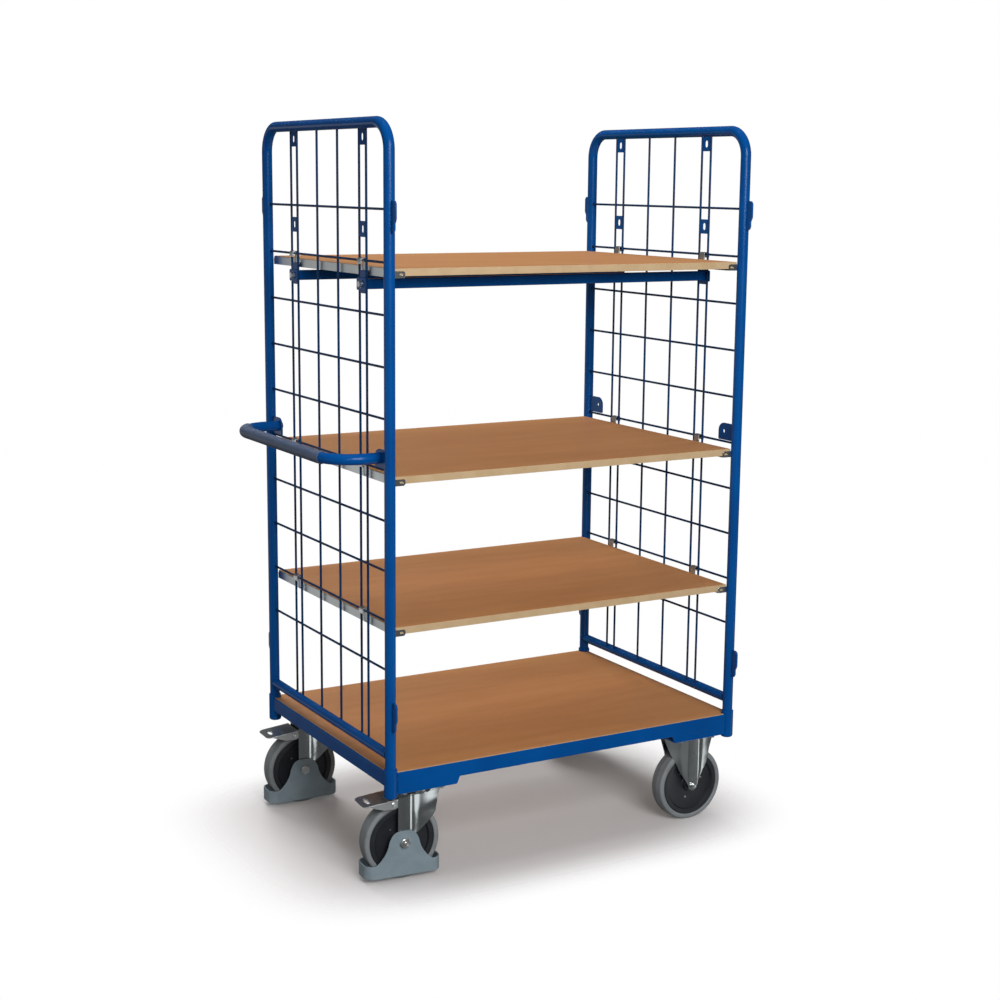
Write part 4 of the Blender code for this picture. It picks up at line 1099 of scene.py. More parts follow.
@dataclass
class EndFrame:
    """One end: the bent tube with its tabs and lugs, and the welded wire panel.

    A tab's outline is given in shares of its reach and of half its height. A lug's upper edge slopes from a share
    of its radius at the post to its full radius at a share of the way in.
    """

    end: End
    tab_height: float = 0.074
    tab_reach: float = 0.022
    tab_thickness: float = 0.005
    tab_root: float = 0.001
    tab_z: tuple[float, float] = (1.641, 0.4406)
    tab_shares: tuple[Point, ...] = (
        (0.50, -1.0), (0.72, -0.80), (0.72, -0.42), (0.86, -0.30), (1.0, -0.12), (1.0, 0.78), (0.86, 0.94),
        (0.62, 1.0),
    )
    tab_beads: int = 9
    tab_bead: Place = (0.0017, 0.0015, 0.0042)
    tab_bead_stand: float = 0.0005
    tab_bead_span: float = 0.8
    lug_radius: float = 0.022
    lug_rise: float = 0.0235
    lug_hole: float = 0.0055
    lug_chamfer: float = 0.002
    lug_root_rise: float = 0.98
    lug_slope_end: float = 0.45
    lug_beads: int = 10
    lug_bead: Place = (0.0017, 0.0015, 0.0032)
    lug_bead_step: float = 0.0045
    lug_bead_start: float = 0.003
    bead_sink: float = 0.0002
    tube_overlap: float = 0.0015
    tube_beads: int = 28
    tube_bead: float = 0.0017
    tube_bead_sink: float = 0.0006
    row_overlap: float = 0.0008
    column_foot: float = 0.004
    column_head: float = 0.0025
    cross_bead: Place = (0.0022, 0.0036, 0.0036)
    foot_bead: Place = (0.0046, 0.0046, 0.0022)
    foot_bead_rise: float = 0.0035
    foot_bead_shift: float = 0.001
    row_bead: Place = (0.0044, 0.0022, 0.0044)
    row_bead_inset: float = 0.0006
    plate_half: Point = (0.0168, 0.019)
    plate_corner: float = 0.0012
    plate_thickness: float = 0.003
    plate_overlap: float = 0.0005
    plate_drop: float = 0.0495
    slot_half: Point = (0.0065, 0.0095)
    slot_corner: float = 0.0064

    def build(self) -> None:
        """Build the end."""
        self.bent_tube()
        for side in Side:
            self.post_plates(side)
        self.bottom_tube()
        self.wires()
        self.slot_plates()

    @property
    def word(self) -> str:
        """The end's word in names."""
        return self.end.word

    @property
    def x(self) -> float:
        """Place of the posts along the trolley."""
        return self.end.value * SIZES.post_x

    def bent_tube(self) -> None:
        """Add the tube that makes both posts and the top bar."""
        s = SIZES
        rise = s.top_tube_z - s.top_bend - s.post_bottom
        form = Form()
        tube = BentTube(form, (self.x, -s.post_y, s.post_bottom), (0, 0, 1), s.tube, s.tube - s.tube_wall, 40)
        tube.straight(rise).bend(90, s.top_bend, (0, 1, 0), 18).straight(2 * (s.post_y - s.top_bend))
        tube.bend(90, s.top_bend, (0, 0, -1), 18).straight(rise)
        replaced = (f"{self.word}_post_left", f"{self.word}_post_right", f"{self.word}_top_bar")
        form.publish(f"{self.word}_bent_tube", Finishes.BLUE, "frame", *replaced)

    def post_plates(self, side: Side) -> None:
        """Add the tabs on the outer side of one post, the lug on its inner side, and their welds.

        Args:
            side: which side of the trolley.
        """
        beads = Form()
        self.tabs(side, beads)
        self.lug(side, beads)
        beads.publish(f"{self.word}_post_welds_{side.word}", Finishes.BLUE, "frame", flat=80)

    def tabs(self, side: Side, beads: Form) -> None:
        """Add the high and the low tab of one post, and their weld beads to a form.

        Args:
            side: which side of the trolley.
            beads: the form that takes the weld beads.
        """
        s, way = SIZES, side.value
        half, root, thick = self.tab_height / 2, self.tab_root, self.tab_thickness
        outline = [(-root, -half), *((self.tab_reach * u, half * v) for u, v in self.tab_shares), (-root, half)]
        surface_y = way * (s.post_y + s.tube)
        low = -half * self.tab_bead_span
        step = -2 * low / (self.tab_beads - 1)
        tabs = Form()
        for z in self.tab_z:
            tabs.plate(outline, (self.x - way * thick / 2, surface_y, z), (0, way, 0), (0, 0, 1), thick)
            for i in range(self.tab_beads):
                for face in (-1, 1):
                    x = self.x + face * (thick / 2 + self.tab_bead_stand)
                    beads.bead((x, surface_y - way * self.bead_sink, z + low + i * step), self.tab_bead)
        tabs.publish(f"{self.word}_side_tabs_{side.word}", Finishes.BLUE, "frame", soften=0.0008)

    def lug(self, side: Side, beads: Form) -> None:
        """Add the round-eared lug of one post, and its weld beads to a form.

        Args:
            side: which side of the trolley.
            beads: the form that takes the weld beads.
        """
        s, way = SIZES, side.value
        inner = s.post_y - s.tube - s.lug_y + self.tab_root
        radius, foot, cut = self.lug_radius, -self.lug_rise, self.lug_chamfer
        outline = [(inner, foot), (inner, radius * self.lug_root_rise), (inner * self.lug_slope_end, radius)]
        outline += arc(0, 0, radius, 90, 180, 12) + [(-radius, foot + cut), (-radius + cut, foot)]
        origin = (self.x - way * s.lug_thickness / 2, way * s.lug_y, s.lug_z)
        lug = Form().plate(outline, origin, (0, way, 0), (0, 0, 1), s.lug_thickness, [ring(self.lug_hole)])
        lug.publish(f"{self.word}_lug_{side.word}", Finishes.BLUE, "frame", soften=0.0006)
        y = way * (s.post_y - s.tube + self.bead_sink)
        for i in range(self.lug_beads):
            z = s.lug_z + foot + self.lug_bead_start + i * self.lug_bead_step
            for face in (-1, 1):
                beads.bead((self.x + face * (s.lug_thickness / 2 + self.tab_bead_stand), y, z), self.lug_bead)

    def bottom_tube(self) -> None:
        """Add the tube between the feet of the posts, which carries the panel."""
        s = SIZES
        half = s.post_y - s.tube + self.tube_overlap
        form = Form()
        bore = s.bottom_tube - s.tube_wall
        BentTube(form, (self.x, -half, s.bottom_tube_z), (0, 1, 0), s.bottom_tube, bore, 36).straight(2 * half)
        form.publish(f"{self.word}_bottom_tube", Finishes.BLUE, "frame")
        seam = Form()
        reach = s.bottom_tube + self.bead_sink
        for side in (-1, 1):
            y = side * (s.post_y - s.tube + self.tube_bead_sink)
            for i in range(self.tube_beads):
                angle = 2 * pi * i / self.tube_beads
                aside, up = reach * sin(angle), reach * cos(angle)
                hollow = s.tube - sqrt(max(0.0, s.tube ** 2 - aside ** 2))
                seam.bead((self.x + aside, y + side * hollow, s.bottom_tube_z + up), [self.tube_bead] * 3)
        seam.publish(f"{self.word}_bottom_tube_welds", Finishes.BLUE, "frame", flat=80)

    def wires(self) -> None:
        """Add the rows and columns of wires with a weld at every crossing."""
        s, sign = SIZES, self.end.value
        row_x, column_x = sign * s.row_x, sign * s.column_x
        half = s.post_y - s.tube + self.row_overlap
        heights = [s.row(index) for index in range(s.row_count)]
        rows = Form()
        for z in heights:
            rows.rod((row_x, -half, z), (row_x, half, z), s.wire, 18)
        rows.publish(f"{self.word}_wire_rows", Finishes.WIRE_BLUE, "frame", f"{self.word}_wire_panel")
        foot = s.bottom_tube_z + s.bottom_tube - self.column_foot
        head = s.top_tube_z - s.tube + self.column_head
        columns = Form()
        for y in s.columns():
            columns.rod((column_x, y, foot), (column_x, y, head), s.wire, 18)
        columns.publish(f"{self.word}_wire_columns", Finishes.WIRE_BLUE, "frame")
        beads = Form()
        middle = (row_x + column_x) / 2
        for y in s.columns():
            for z in heights:
                beads.bead((middle, y, z), self.cross_bead)
            beads.bead((column_x + sign * self.foot_bead_shift, y, foot + self.foot_bead_rise), self.foot_bead)
        for side in (-1, 1):
            for z in heights:
                beads.bead((row_x, side * (half - self.row_bead_inset), z), self.row_bead)
        beads.publish(f"{self.word}_wire_welds", Finishes.WIRE_BLUE, "frame", flat=80)

    def slot_plates(self) -> None:
        """Add the plates with an upright slot between the wires of each pair."""
        s, thick = SIZES, self.plate_thickness
        heights = (
            s.top_tube_z - s.tube - self.plate_half[1] + self.plate_overlap, s.row(s.row_count - 1) - self.plate_drop,
        )
        form = Form()
        outline = rounded(*self.plate_half, self.plate_corner, 3)
        slot = rounded(*self.slot_half, self.slot_corner, 8)
        for y in (-s.pair_y, s.pair_y):
            for z in heights:
                origin = (self.end.value * s.column_x - thick / 2, y, z)
                form.plate(outline, origin, (0, 1, 0), (0, 0, 1), thick, [slot])
        form.publish(f"{self.word}_slot_plates", Finishes.BLUE, "frame", soften=0.0004)


@dataclass
class PushHandle:
    """The bent handle on the lugs of the handle end, with its sleeve and bolts."""

    reach: float = 0.1235
    bend: float = 0.085
    sleeve: float = 0.0158
    sleeve_bend: float = 45.0
    sleeve_end_bend: float = 13.0
    bolt: Bolt = Bolt(thread=0.005, corner=0.009, head=0.006, washer=0.010)

    def build(self) -> None:
        """Build the handle."""
        s = SIZES
        handle_x = s.post_x + self.reach
        start_x = -s.post_x - s.lug_thickness / 2 - s.gap
        arm = handle_x + start_x - self.bend
        cross = 2 * (s.lug_y - self.bend)
        form = Form()
        tube = BentTube(form, (start_x, s.lug_y, s.lug_z), (-1, 0, 0), s.tube, s.tube - s.tube_wall, 40)
        tube.straight(arm).bend(90, self.bend, (0, -1, 0), 18).straight(cross)
        tube.bend(90, self.bend, (1, 0, 0), 18).straight(arm)
        form.publish("push_handle", Finishes.BLUE, "frame", "push_handle")

        turn = radians(self.sleeve_bend)
        heading = Vector((-sin(turn), -cos(turn), 0))
        inward = Vector((cos(turn), -sin(turn), 0))
        centre = Vector((-handle_x + self.bend, s.lug_y - self.bend, s.lug_z))
        form = Form()
        grip = BentTube(form, centre - inward * self.bend, heading, self.sleeve, s.tube + s.gap, 40)
        grip.bend(self.sleeve_bend, self.bend, inward, 9).straight(cross)
        grip.bend(self.sleeve_end_bend, self.bend, (1, 0, 0), 3)
        form.publish("handle_grip", Finishes.GRIP, "frame", "handle_grip", soften=0.0006)

        bolts = Form()
        for y in (-s.lug_y, s.lug_y):
            self.bolt.head_on(bolts, (-s.post_x + s.lug_thickness / 2 + s.gap, y, s.lug_z), (1, 0, 0))
        bolts.publish("push_handle_bolt_heads", Finishes.BOLT_ZINC, "frame", soften=0.0003)


# Shelves


@dataclass
class Shelf:
    """A board held at both ends by a folded zinc rail that hooks on the panel wires."""

    name: str
    row: int
    sheet: float = 0.0018
    floor: float = 0.004
    floor_sheet: float = 0.0015
    depth: float = 0.028
    web_drop: float = 0.001
    web_shortfall: float = 0.003
    fold_overlap: float = 0.0004
    tab_setback: float = 0.006
    tab_chamfer: float = 0.004
    slot_half: Point = (0.0045, 0.0022)
    slot_corner: float = 0.0021
    slot_place: Point = (0.0105, 0.0085)
    hook_width: float = 0.022
    hook_sheet: float = 0.0025
    hook_foot: float = 0.016
    hook_tail: float = 0.009
    hook_bow: float = 0.001
    weld_spread: float = 0.006
    weld_rise: float = 0.007
    weld_size: Place = (0.0008, 0.0022, 0.0022)
    board: Board = field(default_factory=Board)

    def build(self) -> None:
        """Build the shelf."""
        s = SIZES
        top = s.shelf_top(self.row)
        half_x = s.shelf_end_x - self.sheet
        half_y = s.shelf_half_y
        outline = [(-half_x, -half_y), (half_x, -half_y), (half_x, half_y), (-half_x, half_y)]
        self.board.publish(f"{self.name}_shelf_board", outline, top, f"{self.name}_shelf_board")
        for end in End:
            self.rail(end, top)
            self.hooks(end, top)

    def rail(self, end: End, top: float) -> None:
        """Add one end rail: web, floor and the folded tabs at the corners, darker than the web as painted shade.

        Args:
            end: which end of the trolley.
            top: the height of the shelf's upper face.
        """
        s, sign, sheet, cut = SIZES, end.value, self.sheet, self.tab_chamfer
        name = f"{self.name}_shelf_{end.word}_rail"
        x, outer_y = s.shelf_end_x, s.shelf_half_y + s.gap + self.floor_sheet
        half, high = outer_y - self.web_shortfall, top - self.web_drop
        low = top - s.board - s.gap - self.floor
        outline = [(-half, low), (half, low), (half, high), (-half, high)]
        web = Form().plate(outline, (sign * (x - sheet), 0, 0), (0, sign, 0), (0, 0, 1), sheet)
        web.box(
            (sign * (x - self.fold_overlap), -half, low), (sign * (x - self.depth), half, low + self.floor_sheet),
        )
        rise, back = top - self.tab_setback - low, -self.depth
        tab = [(0.0, 0.0), (0.0, rise), (back + cut, rise), (back, rise - cut), (back, cut), (back + cut, 0.0)]
        slot = shifted(rounded(*self.slot_half, self.slot_corner, 6), back + self.slot_place[0], self.slot_place[1])
        tabs = Form()
        for way in (-1, 1):
            origin = (sign * x, way * (outer_y - sheet / 2) - sign * sheet / 2, low)
            tabs.plate(tab, origin, (sign, 0, 0), (0, 0, 1), -sheet, [slot])
        web.publish(name, Finishes.PALE_ZINC, "frame", name, soften=0.0004)
        # Painted shade: the folded tabs take the darker zinc and their web the pale zinc, though both are one sheet.
        tabs.publish(f"{name}_tabs", Finishes.ZINC, "frame", soften=0.0004)

    def hooks(self, end: End, top: float) -> None:
        """Add the two hooks of one end, with their spot welds.

        Args:
            end: which end of the trolley.
            top: the height of the shelf's upper face.
        """
        s, sign, thick, bow = SIZES, end.value, self.hook_sheet, self.hook_bow
        wire = s.row(self.row)
        inner, outer = s.shelf_end_x, s.row_x + s.wire + s.gap
        crest = wire + s.wire + 2 * s.gap - bow
        middle_x, half = (inner + outer + thick) / 2, (outer + thick - inner) / 2
        foot, tail = top - self.hook_foot, wire - self.hook_tail
        over = [radians(angle) for angle in range(180, -1, -20)]
        under = [radians(angle) for angle in range(20, 161, 20)]
        outline = [(inner, foot)]
        outline += [(middle_x + half * cos(a), crest + (thick + bow) * sin(a)) for a in over]
        outline += [(outer + thick, tail), (outer, tail), (outer, crest)]
        outline += [(middle_x + (half - thick) * cos(a), crest + bow * sin(a)) for a in under]
        outline += [(inner + thick, crest), (inner + thick, foot)]
        form = Form()
        for y in (-s.pair_y, s.pair_y):
            form.plate(outline, (0, y + sign * self.hook_width / 2, 0), (sign, 0, 0), (0, 0, 1), self.hook_width)
            for step in (-self.weld_spread, self.weld_spread):
                form.bead((sign * (inner + thick), y + step, foot + self.weld_rise), self.weld_size)
        form.publish(f"{self.name}_shelf_{end.word}_hooks", Finishes.PALE_ZINC, "frame", soften=0.0004)


@dataclass
class StayBar:
    """A square tube under the upper shelf, bolted to the wires with end plates and clamps."""

    side: Side
    z: float = 1.4772
    size: float = 0.025
    wall: float = 0.002
    corner: float = 0.003
    bore_corner: float = 0.0015
    end_clearance: float = 0.0012
    plate_half: float = 0.0155
    plate_thickness: float = 0.003
    plate_drop: float = 0.010
    plate_rise: float = 0.020
    clamp_half: Point = (0.024, 0.015)
    clamp_corner: float = 0.004
    clamp_thickness: float = 0.003
    bolt: Bolt = Bolt(thread=0.005, corner=0.009, head=0.006, washer=0.0098)

    def build(self) -> None:
        """Build the bar with its clamps."""
        s = SIZES
        y, up = self.side.value * s.pair_y, (0, 0, 1)
        half, bore = self.size / 2, self.size / 2 - self.wall
        reach = s.column_x - self.end_clearance
        tube, hollow = rounded(half, half, self.corner, 4), rounded(bore, bore, self.bore_corner, 3)
        form = Form().plate(tube, (-reach, y, self.z), (0, 1, 0), up, 2 * reach, [hollow])
        low, high = -half - self.plate_drop, half + self.plate_rise
        plate = [(-self.plate_half, low), (self.plate_half, low), (self.plate_half, high), (-self.plate_half, high)]
        for sign in (-1, 1):
            origin = (sign * s.column_x - self.plate_thickness / 2, y, self.z)
            form.plate(plate, origin, (0, 1, 0), up, self.plate_thickness)
        name = f"stay_bar_{self.side.word}"
        form.publish(name, Finishes.BLUE, "frame", name, soften=0.0004)
        outline = rounded(*self.clamp_half, self.clamp_corner, 5)
        clamp_x = s.column_x + s.wire + s.gap
        for end in End:
            way, clamp_name = end.value, f"{name}_{end.word}_clamp"
            clamp = Form().plate(outline, (way * clamp_x, y, self.z), (0, way, 0), up, self.clamp_thickness)
            clamp.publish(clamp_name, Finishes.BLUE, "frame", clamp_name, soften=0.0004)
            bolt = Form()
            self.bolt.head_on(bolt, (way * (clamp_x + self.clamp_thickness), y, self.z), (way, 0, 0))
            bolt.publish(f"{clamp_name}_bolt", Finishes.BOLT_ZINC, "frame", soften=0.0003)


# Castors


@dataclass
class Wheel:
    """A wheel: grey tyre on a black centre, with a hub, a thread guard lip and small cap screws.

    The tyre's foot is given outwards from its seat, its edge inwards from the tread, and both inwards from the
    side wall. The dish and a cap are (radius, place along the axle) points.
    """

    prefix: str
    place: tuple[float, float, float]
    turn: Matrix | None = None
    radius: float = 0.100
    tyre_width: float = 0.046
    seat: float = 0.0865
    tyre_foot: tuple[Point, ...] = ((0.0, 0.0022), (0.0015, 0.0008), (0.004, 0.0))
    tyre_edge: tuple[Point, ...] = ((0.0085, 0.0), (0.0068, 0.0006))
    shoulder: Point = (0.0062, 0.0066)
    shoulder_inset: float = 0.0072
    mould_line: Point = (0.0002, 0.0007)
    rim_gap: float = 0.0006
    rim_half: float = 0.0208
    rim_chamfer: Point = (0.0016, 0.0012)
    dish: tuple[Point, ...] = (
        (0.0093, 0.0230), (0.0185, 0.0230), (0.0198, 0.0218), (0.0212, 0.0150), (0.0235, 0.0130), (0.030, 0.0122),
        (0.062, 0.0138), (0.0705, 0.0152), (0.0725, 0.0185), (0.0738, 0.0203), (0.0755, 0.0208),
    )
    caps: int = 3
    cap_circle: float = 0.040
    cap_turn: float = 135.0
    cap_foot: float = 0.0126
    cap: tuple[Point, ...] = ((0, 0), (0.0030, 0), (0.0030, 0.0010), (0.0024, 0.0018), (0, 0.0020))

    def build(self) -> None:
        """Build the tyre and the centre."""
        self.tyre()
        self.centre()

    @property
    def body(self) -> str:
        """The body that the wheel turns with."""
        return f"{self.prefix}_wheel_body"

    def tyre(self) -> None:
        """Add the tyre: a flat tread with round shoulders and a stepped side wall."""
        half, r = self.tyre_width / 2, self.radius
        rise, depth = self.shoulder
        side = [(self.seat + out, half - back) for out, back in self.tyre_foot]
        side += [(r - down, half - back) for down, back in self.tyre_edge]
        side += [(r - rise + rise * sin(a), half - self.shoulder_inset + depth * cos(a))
                 for a in (radians(degrees) for degrees in range(15, 91, 15))]
        proud, beside = self.mould_line
        side.append((r, beside))
        profile = side + [(r + proud, 0.0)] + [(out, -v) for out, v in reversed(side)]
        form = Form(self.turn).turned(profile, self.place, (0, 1, 0), 96)
        form.publish(f"{self.prefix}_tyre", Finishes.TYRE, self.body, f"{self.prefix}_tyre", flat=40)

    def centre(self) -> None:
        """Add the wheel centre: rim, dished web and hub, and its cap screws."""
        rim, name = self.seat - self.rim_gap, f"{self.prefix}_wheel_centre"
        cut, slope = self.rim_chamfer
        side = [*self.dish, (rim - cut, self.rim_half), (rim, self.rim_half - slope)]
        profile = side + [(r, -v) for r, v in reversed(side)]
        form = Form(self.turn).turned(profile, self.place, (0, 1, 0), 80)
        form.publish(name, Finishes.CENTRE, self.body, name, flat=30)
        caps = Form(self.turn)
        x, y, z = self.place
        for i in range(self.caps):
            angle = radians(self.cap_turn + 360 * i / self.caps)
            aside, up = self.cap_circle * cos(angle), self.cap_circle * sin(angle)
            for way in (-1, 1):
                caps.turned(self.cap, (x + aside, y + way * self.cap_foot, z + up), (0, way, 0), 14)
        caps.publish(f"{self.prefix}_hub_screws", Finishes.BOLT_ZINC, self.body)


@dataclass
class Castor:
    """What swivel and fixed castors share: top plate with bolts, pressed legs, and the axle.

    A leg is flat round the axle. From its flat it drops inwards by a small step, a wider band and a curve. The
    curl values say how that profile is sampled and kept within what a leg's width allows.
    """

    prefix: str
    head: Vector
    axle_x: float
    degrees: float = 0.0
    plate_length: float = 0.135
    plate_width: float = 0.105
    plate_corner: float = 0.012
    cheek_y: float = 0.033
    sheet: float = 0.003
    flat_back: float = 0.0150
    flat_front: float = 0.0170
    step_depth: float = 0.0024
    step_width: float = 0.006
    band_depth: float = 0.0040
    band_start: float = 0.0095
    band_width: float = 0.0200
    step_share: float = 0.4
    start_share: float = 0.3
    curve_power: float = 1.9
    curl_lead: float = 0.0005
    curl_least: float = 0.0004
    curl_steepest: float = 1.2
    curl_crowding: float = 1.35
    curl_sample: float = 0.0001
    bolt: Bolt = Bolt(thread=0.004, corner=0.0075, head=0.0052)
    bolt_stub: float = 0.0055
    bolt_turns: Point = (12.0, 17.0)
    axle_bolt: Bolt = Bolt(thread=0.006, corner=0.0135, head=0.008)
    axle_radius: float = 0.0058
    axle_stub: float = 0.004
    axle_turns: Point = (12.0, 40.0)
    spacer_radius: float = 0.0088

    @property
    def turn(self) -> Matrix:
        """How the castor stands turned about its upright axis."""
        head = Matrix.Translation(self.head)
        return head @ Matrix.Rotation(radians(self.degrees), 4, "Z") @ head.inverted()

    @property
    def axle(self) -> Vector:
        """The middle of the axle, before the turn."""
        return Vector((self.axle_x, self.head.y, SIZES.axle_z))

    def top_plate(self, name: str, *replaced: str, hole: float = 0.0) -> None:
        """Add the top plate, with its bolts below and nuts above the mounting plate.

        Args:
            name: the plate's name.
            replaced: the frame nodes that it stands for.
            hole: the radius of its middle hole, or 0.
        """
        s = SIZES
        holes = [ring(hole, sides=40)] if hole else []
        outline = rounded(self.plate_length / 2, self.plate_width / 2, self.plate_corner, 8)
        bottom = s.castor_height - s.plate_thickness
        origin = (self.head.x, self.head.y, bottom)
        form = Form().plate(outline, origin, (1, 0, 0), (0, 1, 0), s.plate_thickness, holes)
        form.publish(name, Finishes.ZINC, "frame", *replaced, soften=0.0006)
        bolts = Form()
        head_turn, nut_turn = self.bolt_turns
        for i, (x, y) in enumerate(s.castor_bolts()):
            spot = Vector((self.head.x + x, self.head.y + y, 0))
            self.bolt.head_on(bolts, spot + Vector((0, 0, bottom)), (0, 0, -1), head_turn * i)
            self.bolt.nut_on(bolts, spot + Vector((0, 0, s.mount_top)), (0, 0, 1), self.bolt_stub, nut_turn * i)
        bolts.publish(f"{name}_bolts", Finishes.BOLT_ZINC, "frame", soften=0.0003)

    def leg(self, form: Form, way: int, levels: Sequence[tuple[float, ...]]) -> None:
        """Add one pressed leg.

        Args:
            form: the form that takes it.
            way: +1 for the left leg, -1 for the right one.
            levels: rows of height, back reach, front reach, and how far each edge curves in.
        """
        loops = []
        for z, back, front, back_drop, front_drop in levels:
            outer = self.curl(back, self.flat_back, back_drop, -1)[::-1]
            outer += self.curl(front, self.flat_front, front_drop, 1)
            skin = [(x, self.cheek_y - drop) for x, drop, _, _ in outer]
            inside = [(x - nx * self.sheet, self.cheek_y - drop - ny * self.sheet) for x, drop, nx, ny in outer]
            section = skin + inside[::-1]
            loops.append([(self.axle_x + x, self.head.y + way * y, z) for x, y in section])
        form.loft(loops)

    def curl(self, reach: float, flat: float, drop: float, way: int, steps: int = 16) -> list[tuple[float, ...]]:
        """Follow a leg's outer side from its flat to one edge.

        Args:
            reach: how far the edge is from the axle.
            flat: how far the flat goes.
            drop: how far the edge lies inside the flat.
            way: +1 towards the front, -1 towards the back.
            steps: how many parts the way is cut into.

        Returns:
            Points of place, drop, and the two parts of the outward normal.
        """
        start = min(reach, flat) - self.curl_lead
        width = max(reach - start, self.curl_least)
        depth = min(drop, width * self.curl_steepest)
        points = []
        for i in range(steps + 1):
            x = width * (i / steps) ** self.curl_crowding
            ahead, behind = min(x + self.curl_sample, width), max(x - self.curl_sample, 0)
            rise = self.drop_at(ahead, width, depth) - self.drop_at(behind, width, depth)
            slope = rise / (2 * self.curl_sample)
            size = sqrt(1 + slope * slope)
            points.append((way * (start + x), self.drop_at(x, width, depth), way * slope / size, 1 / size))
        return points

    def drop_at(self, x: float, width: float, depth: float) -> float:
        """How far a leg has dropped at x from its flat, when it drops by depth over its width.

        Args:
            x: the distance from the flat's edge.
            width: the leg's width there.
            depth: the whole drop.

        Returns:
            The drop at x.
        """
        step = min(self.step_depth, depth * self.step_share)
        band = min(self.band_depth, depth - step)
        start = min(self.band_start, width * self.start_share)
        first = self.ease(x / self.step_width)
        second = self.ease((x - start) / min(self.band_width, width - start))
        return step * first + band * second + (depth - step - band) * (x / width) ** self.curve_power

    @staticmethod
    def ease(share: float) -> float:
        """A smooth step from 0 to 1."""
        share = min(1.0, max(0.0, share))
        return share * share * (3 - 2 * share)

    def axle_ends(self, body: str, face_y: float) -> None:
        """Add the axle: head, nut and thread end outside the fork, and the spacer inside.

        Args:
            body: the frame body that it rides on.
            face_y: how far the seats of the head and the nut lie from the wheel's middle.
        """
        x, y, z = self.axle
        name, form = f"{self.prefix}_axle", Form(self.turn)
        near = -1 if self.head.y < 0 else 1
        nut_turn, head_turn = self.axle_turns
        self.axle_bolt.nut_on(form, (x, y + near * face_y, z), (0, near, 0), self.axle_stub, nut_turn)
        self.axle_bolt.head_on(form, (x, y - near * face_y, z), (0, -near, 0), head_turn)
        form.rod((x, y - face_y, z), (x, y + face_y, z), self.axle_radius, 24)
        spacer = self.cheek_y - self.sheet - SIZES.gap
        form.rod((x, y - spacer, z), (x, y + spacer, z), self.spacer_radius, 32)
        form.publish(name, Finishes.BOLT_ZINC, body, name, soften=0.0003)


@dataclass
class FootGuard:
    """The plastic guard of a swivel castor: an oval band round the wheel's foot and two bell-shaped cheeks.

    The flank is a cheek's edge from the band to its top, and the boss is the ring round the axle inside it.
    """

    prefix: str
    axle: Vector
    turn: Matrix
    half_length: float = 0.102
    half_width: float = 0.0375
    wall: float = 0.003
    low: float = 0.0135
    top: float = 0.0475
    corner: float = 0.026
    cheek_inset: float = 0.0001
    bolt_hole: float = 0.0062
    flank: tuple[Point, ...] = (
        (0.0810, 0.0240), (0.0810, 0.0466), (0.0750, 0.0488), (0.0690, 0.0530), (0.0640, 0.0576), (0.0585, 0.0640),
        (0.0530, 0.0710), (0.0485, 0.0785), (0.0450, 0.0860), (0.0425, 0.0930), (0.0410, 0.1000), (0.0392, 0.1060),
        (0.0366, 0.1115), (0.0338, 0.1170), (0.0300, 0.1220), (0.0245, 0.1265), (0.0175, 0.1293), (0.0090, 0.1304),
        (0.0, 0.1306),
    )
    boss: tuple[Point, ...] = ((0.0064, 0), (0.0145, 0), (0.0145, 0.0010), (0.0135, 0.0018), (0.0064, 0.0018))

    def build(self, body: str) -> None:
        """Build the guard on a body.

        Args:
            body: the frame body that it rides on.
        """
        length, width, wall, inset = self.half_length, self.half_width, self.wall, self.cheek_inset
        x, y, z = self.axle
        band, inside = (rounded(length - cut, width - cut, self.corner - cut, 12) for cut in (0.0, wall))
        height = self.top - self.low
        form = Form(self.turn).plate(band, (x, y, self.low), (1, 0, 0), (0, 1, 0), height, [inside])
        outline = [*self.flank, *((-u, v) for u, v in self.flank[-2::-1])]
        hole = ring(self.bolt_hole, 0, z, 24)
        for way in (-1, 1):
            origin = (x, y + way * (width - inset), 0)
            form.plate(outline, origin, (1, 0, 0), (0, 0, 1), way * (wall - 2 * inset), [hole])
            form.turned(self.boss, (x, y + way * (width - wall - inset), z), (0, -way, 0), 32)
        name = f"{self.prefix}_foot_guard"
        form.publish(name, Finishes.GUARD, body, name, soften=0.0008)


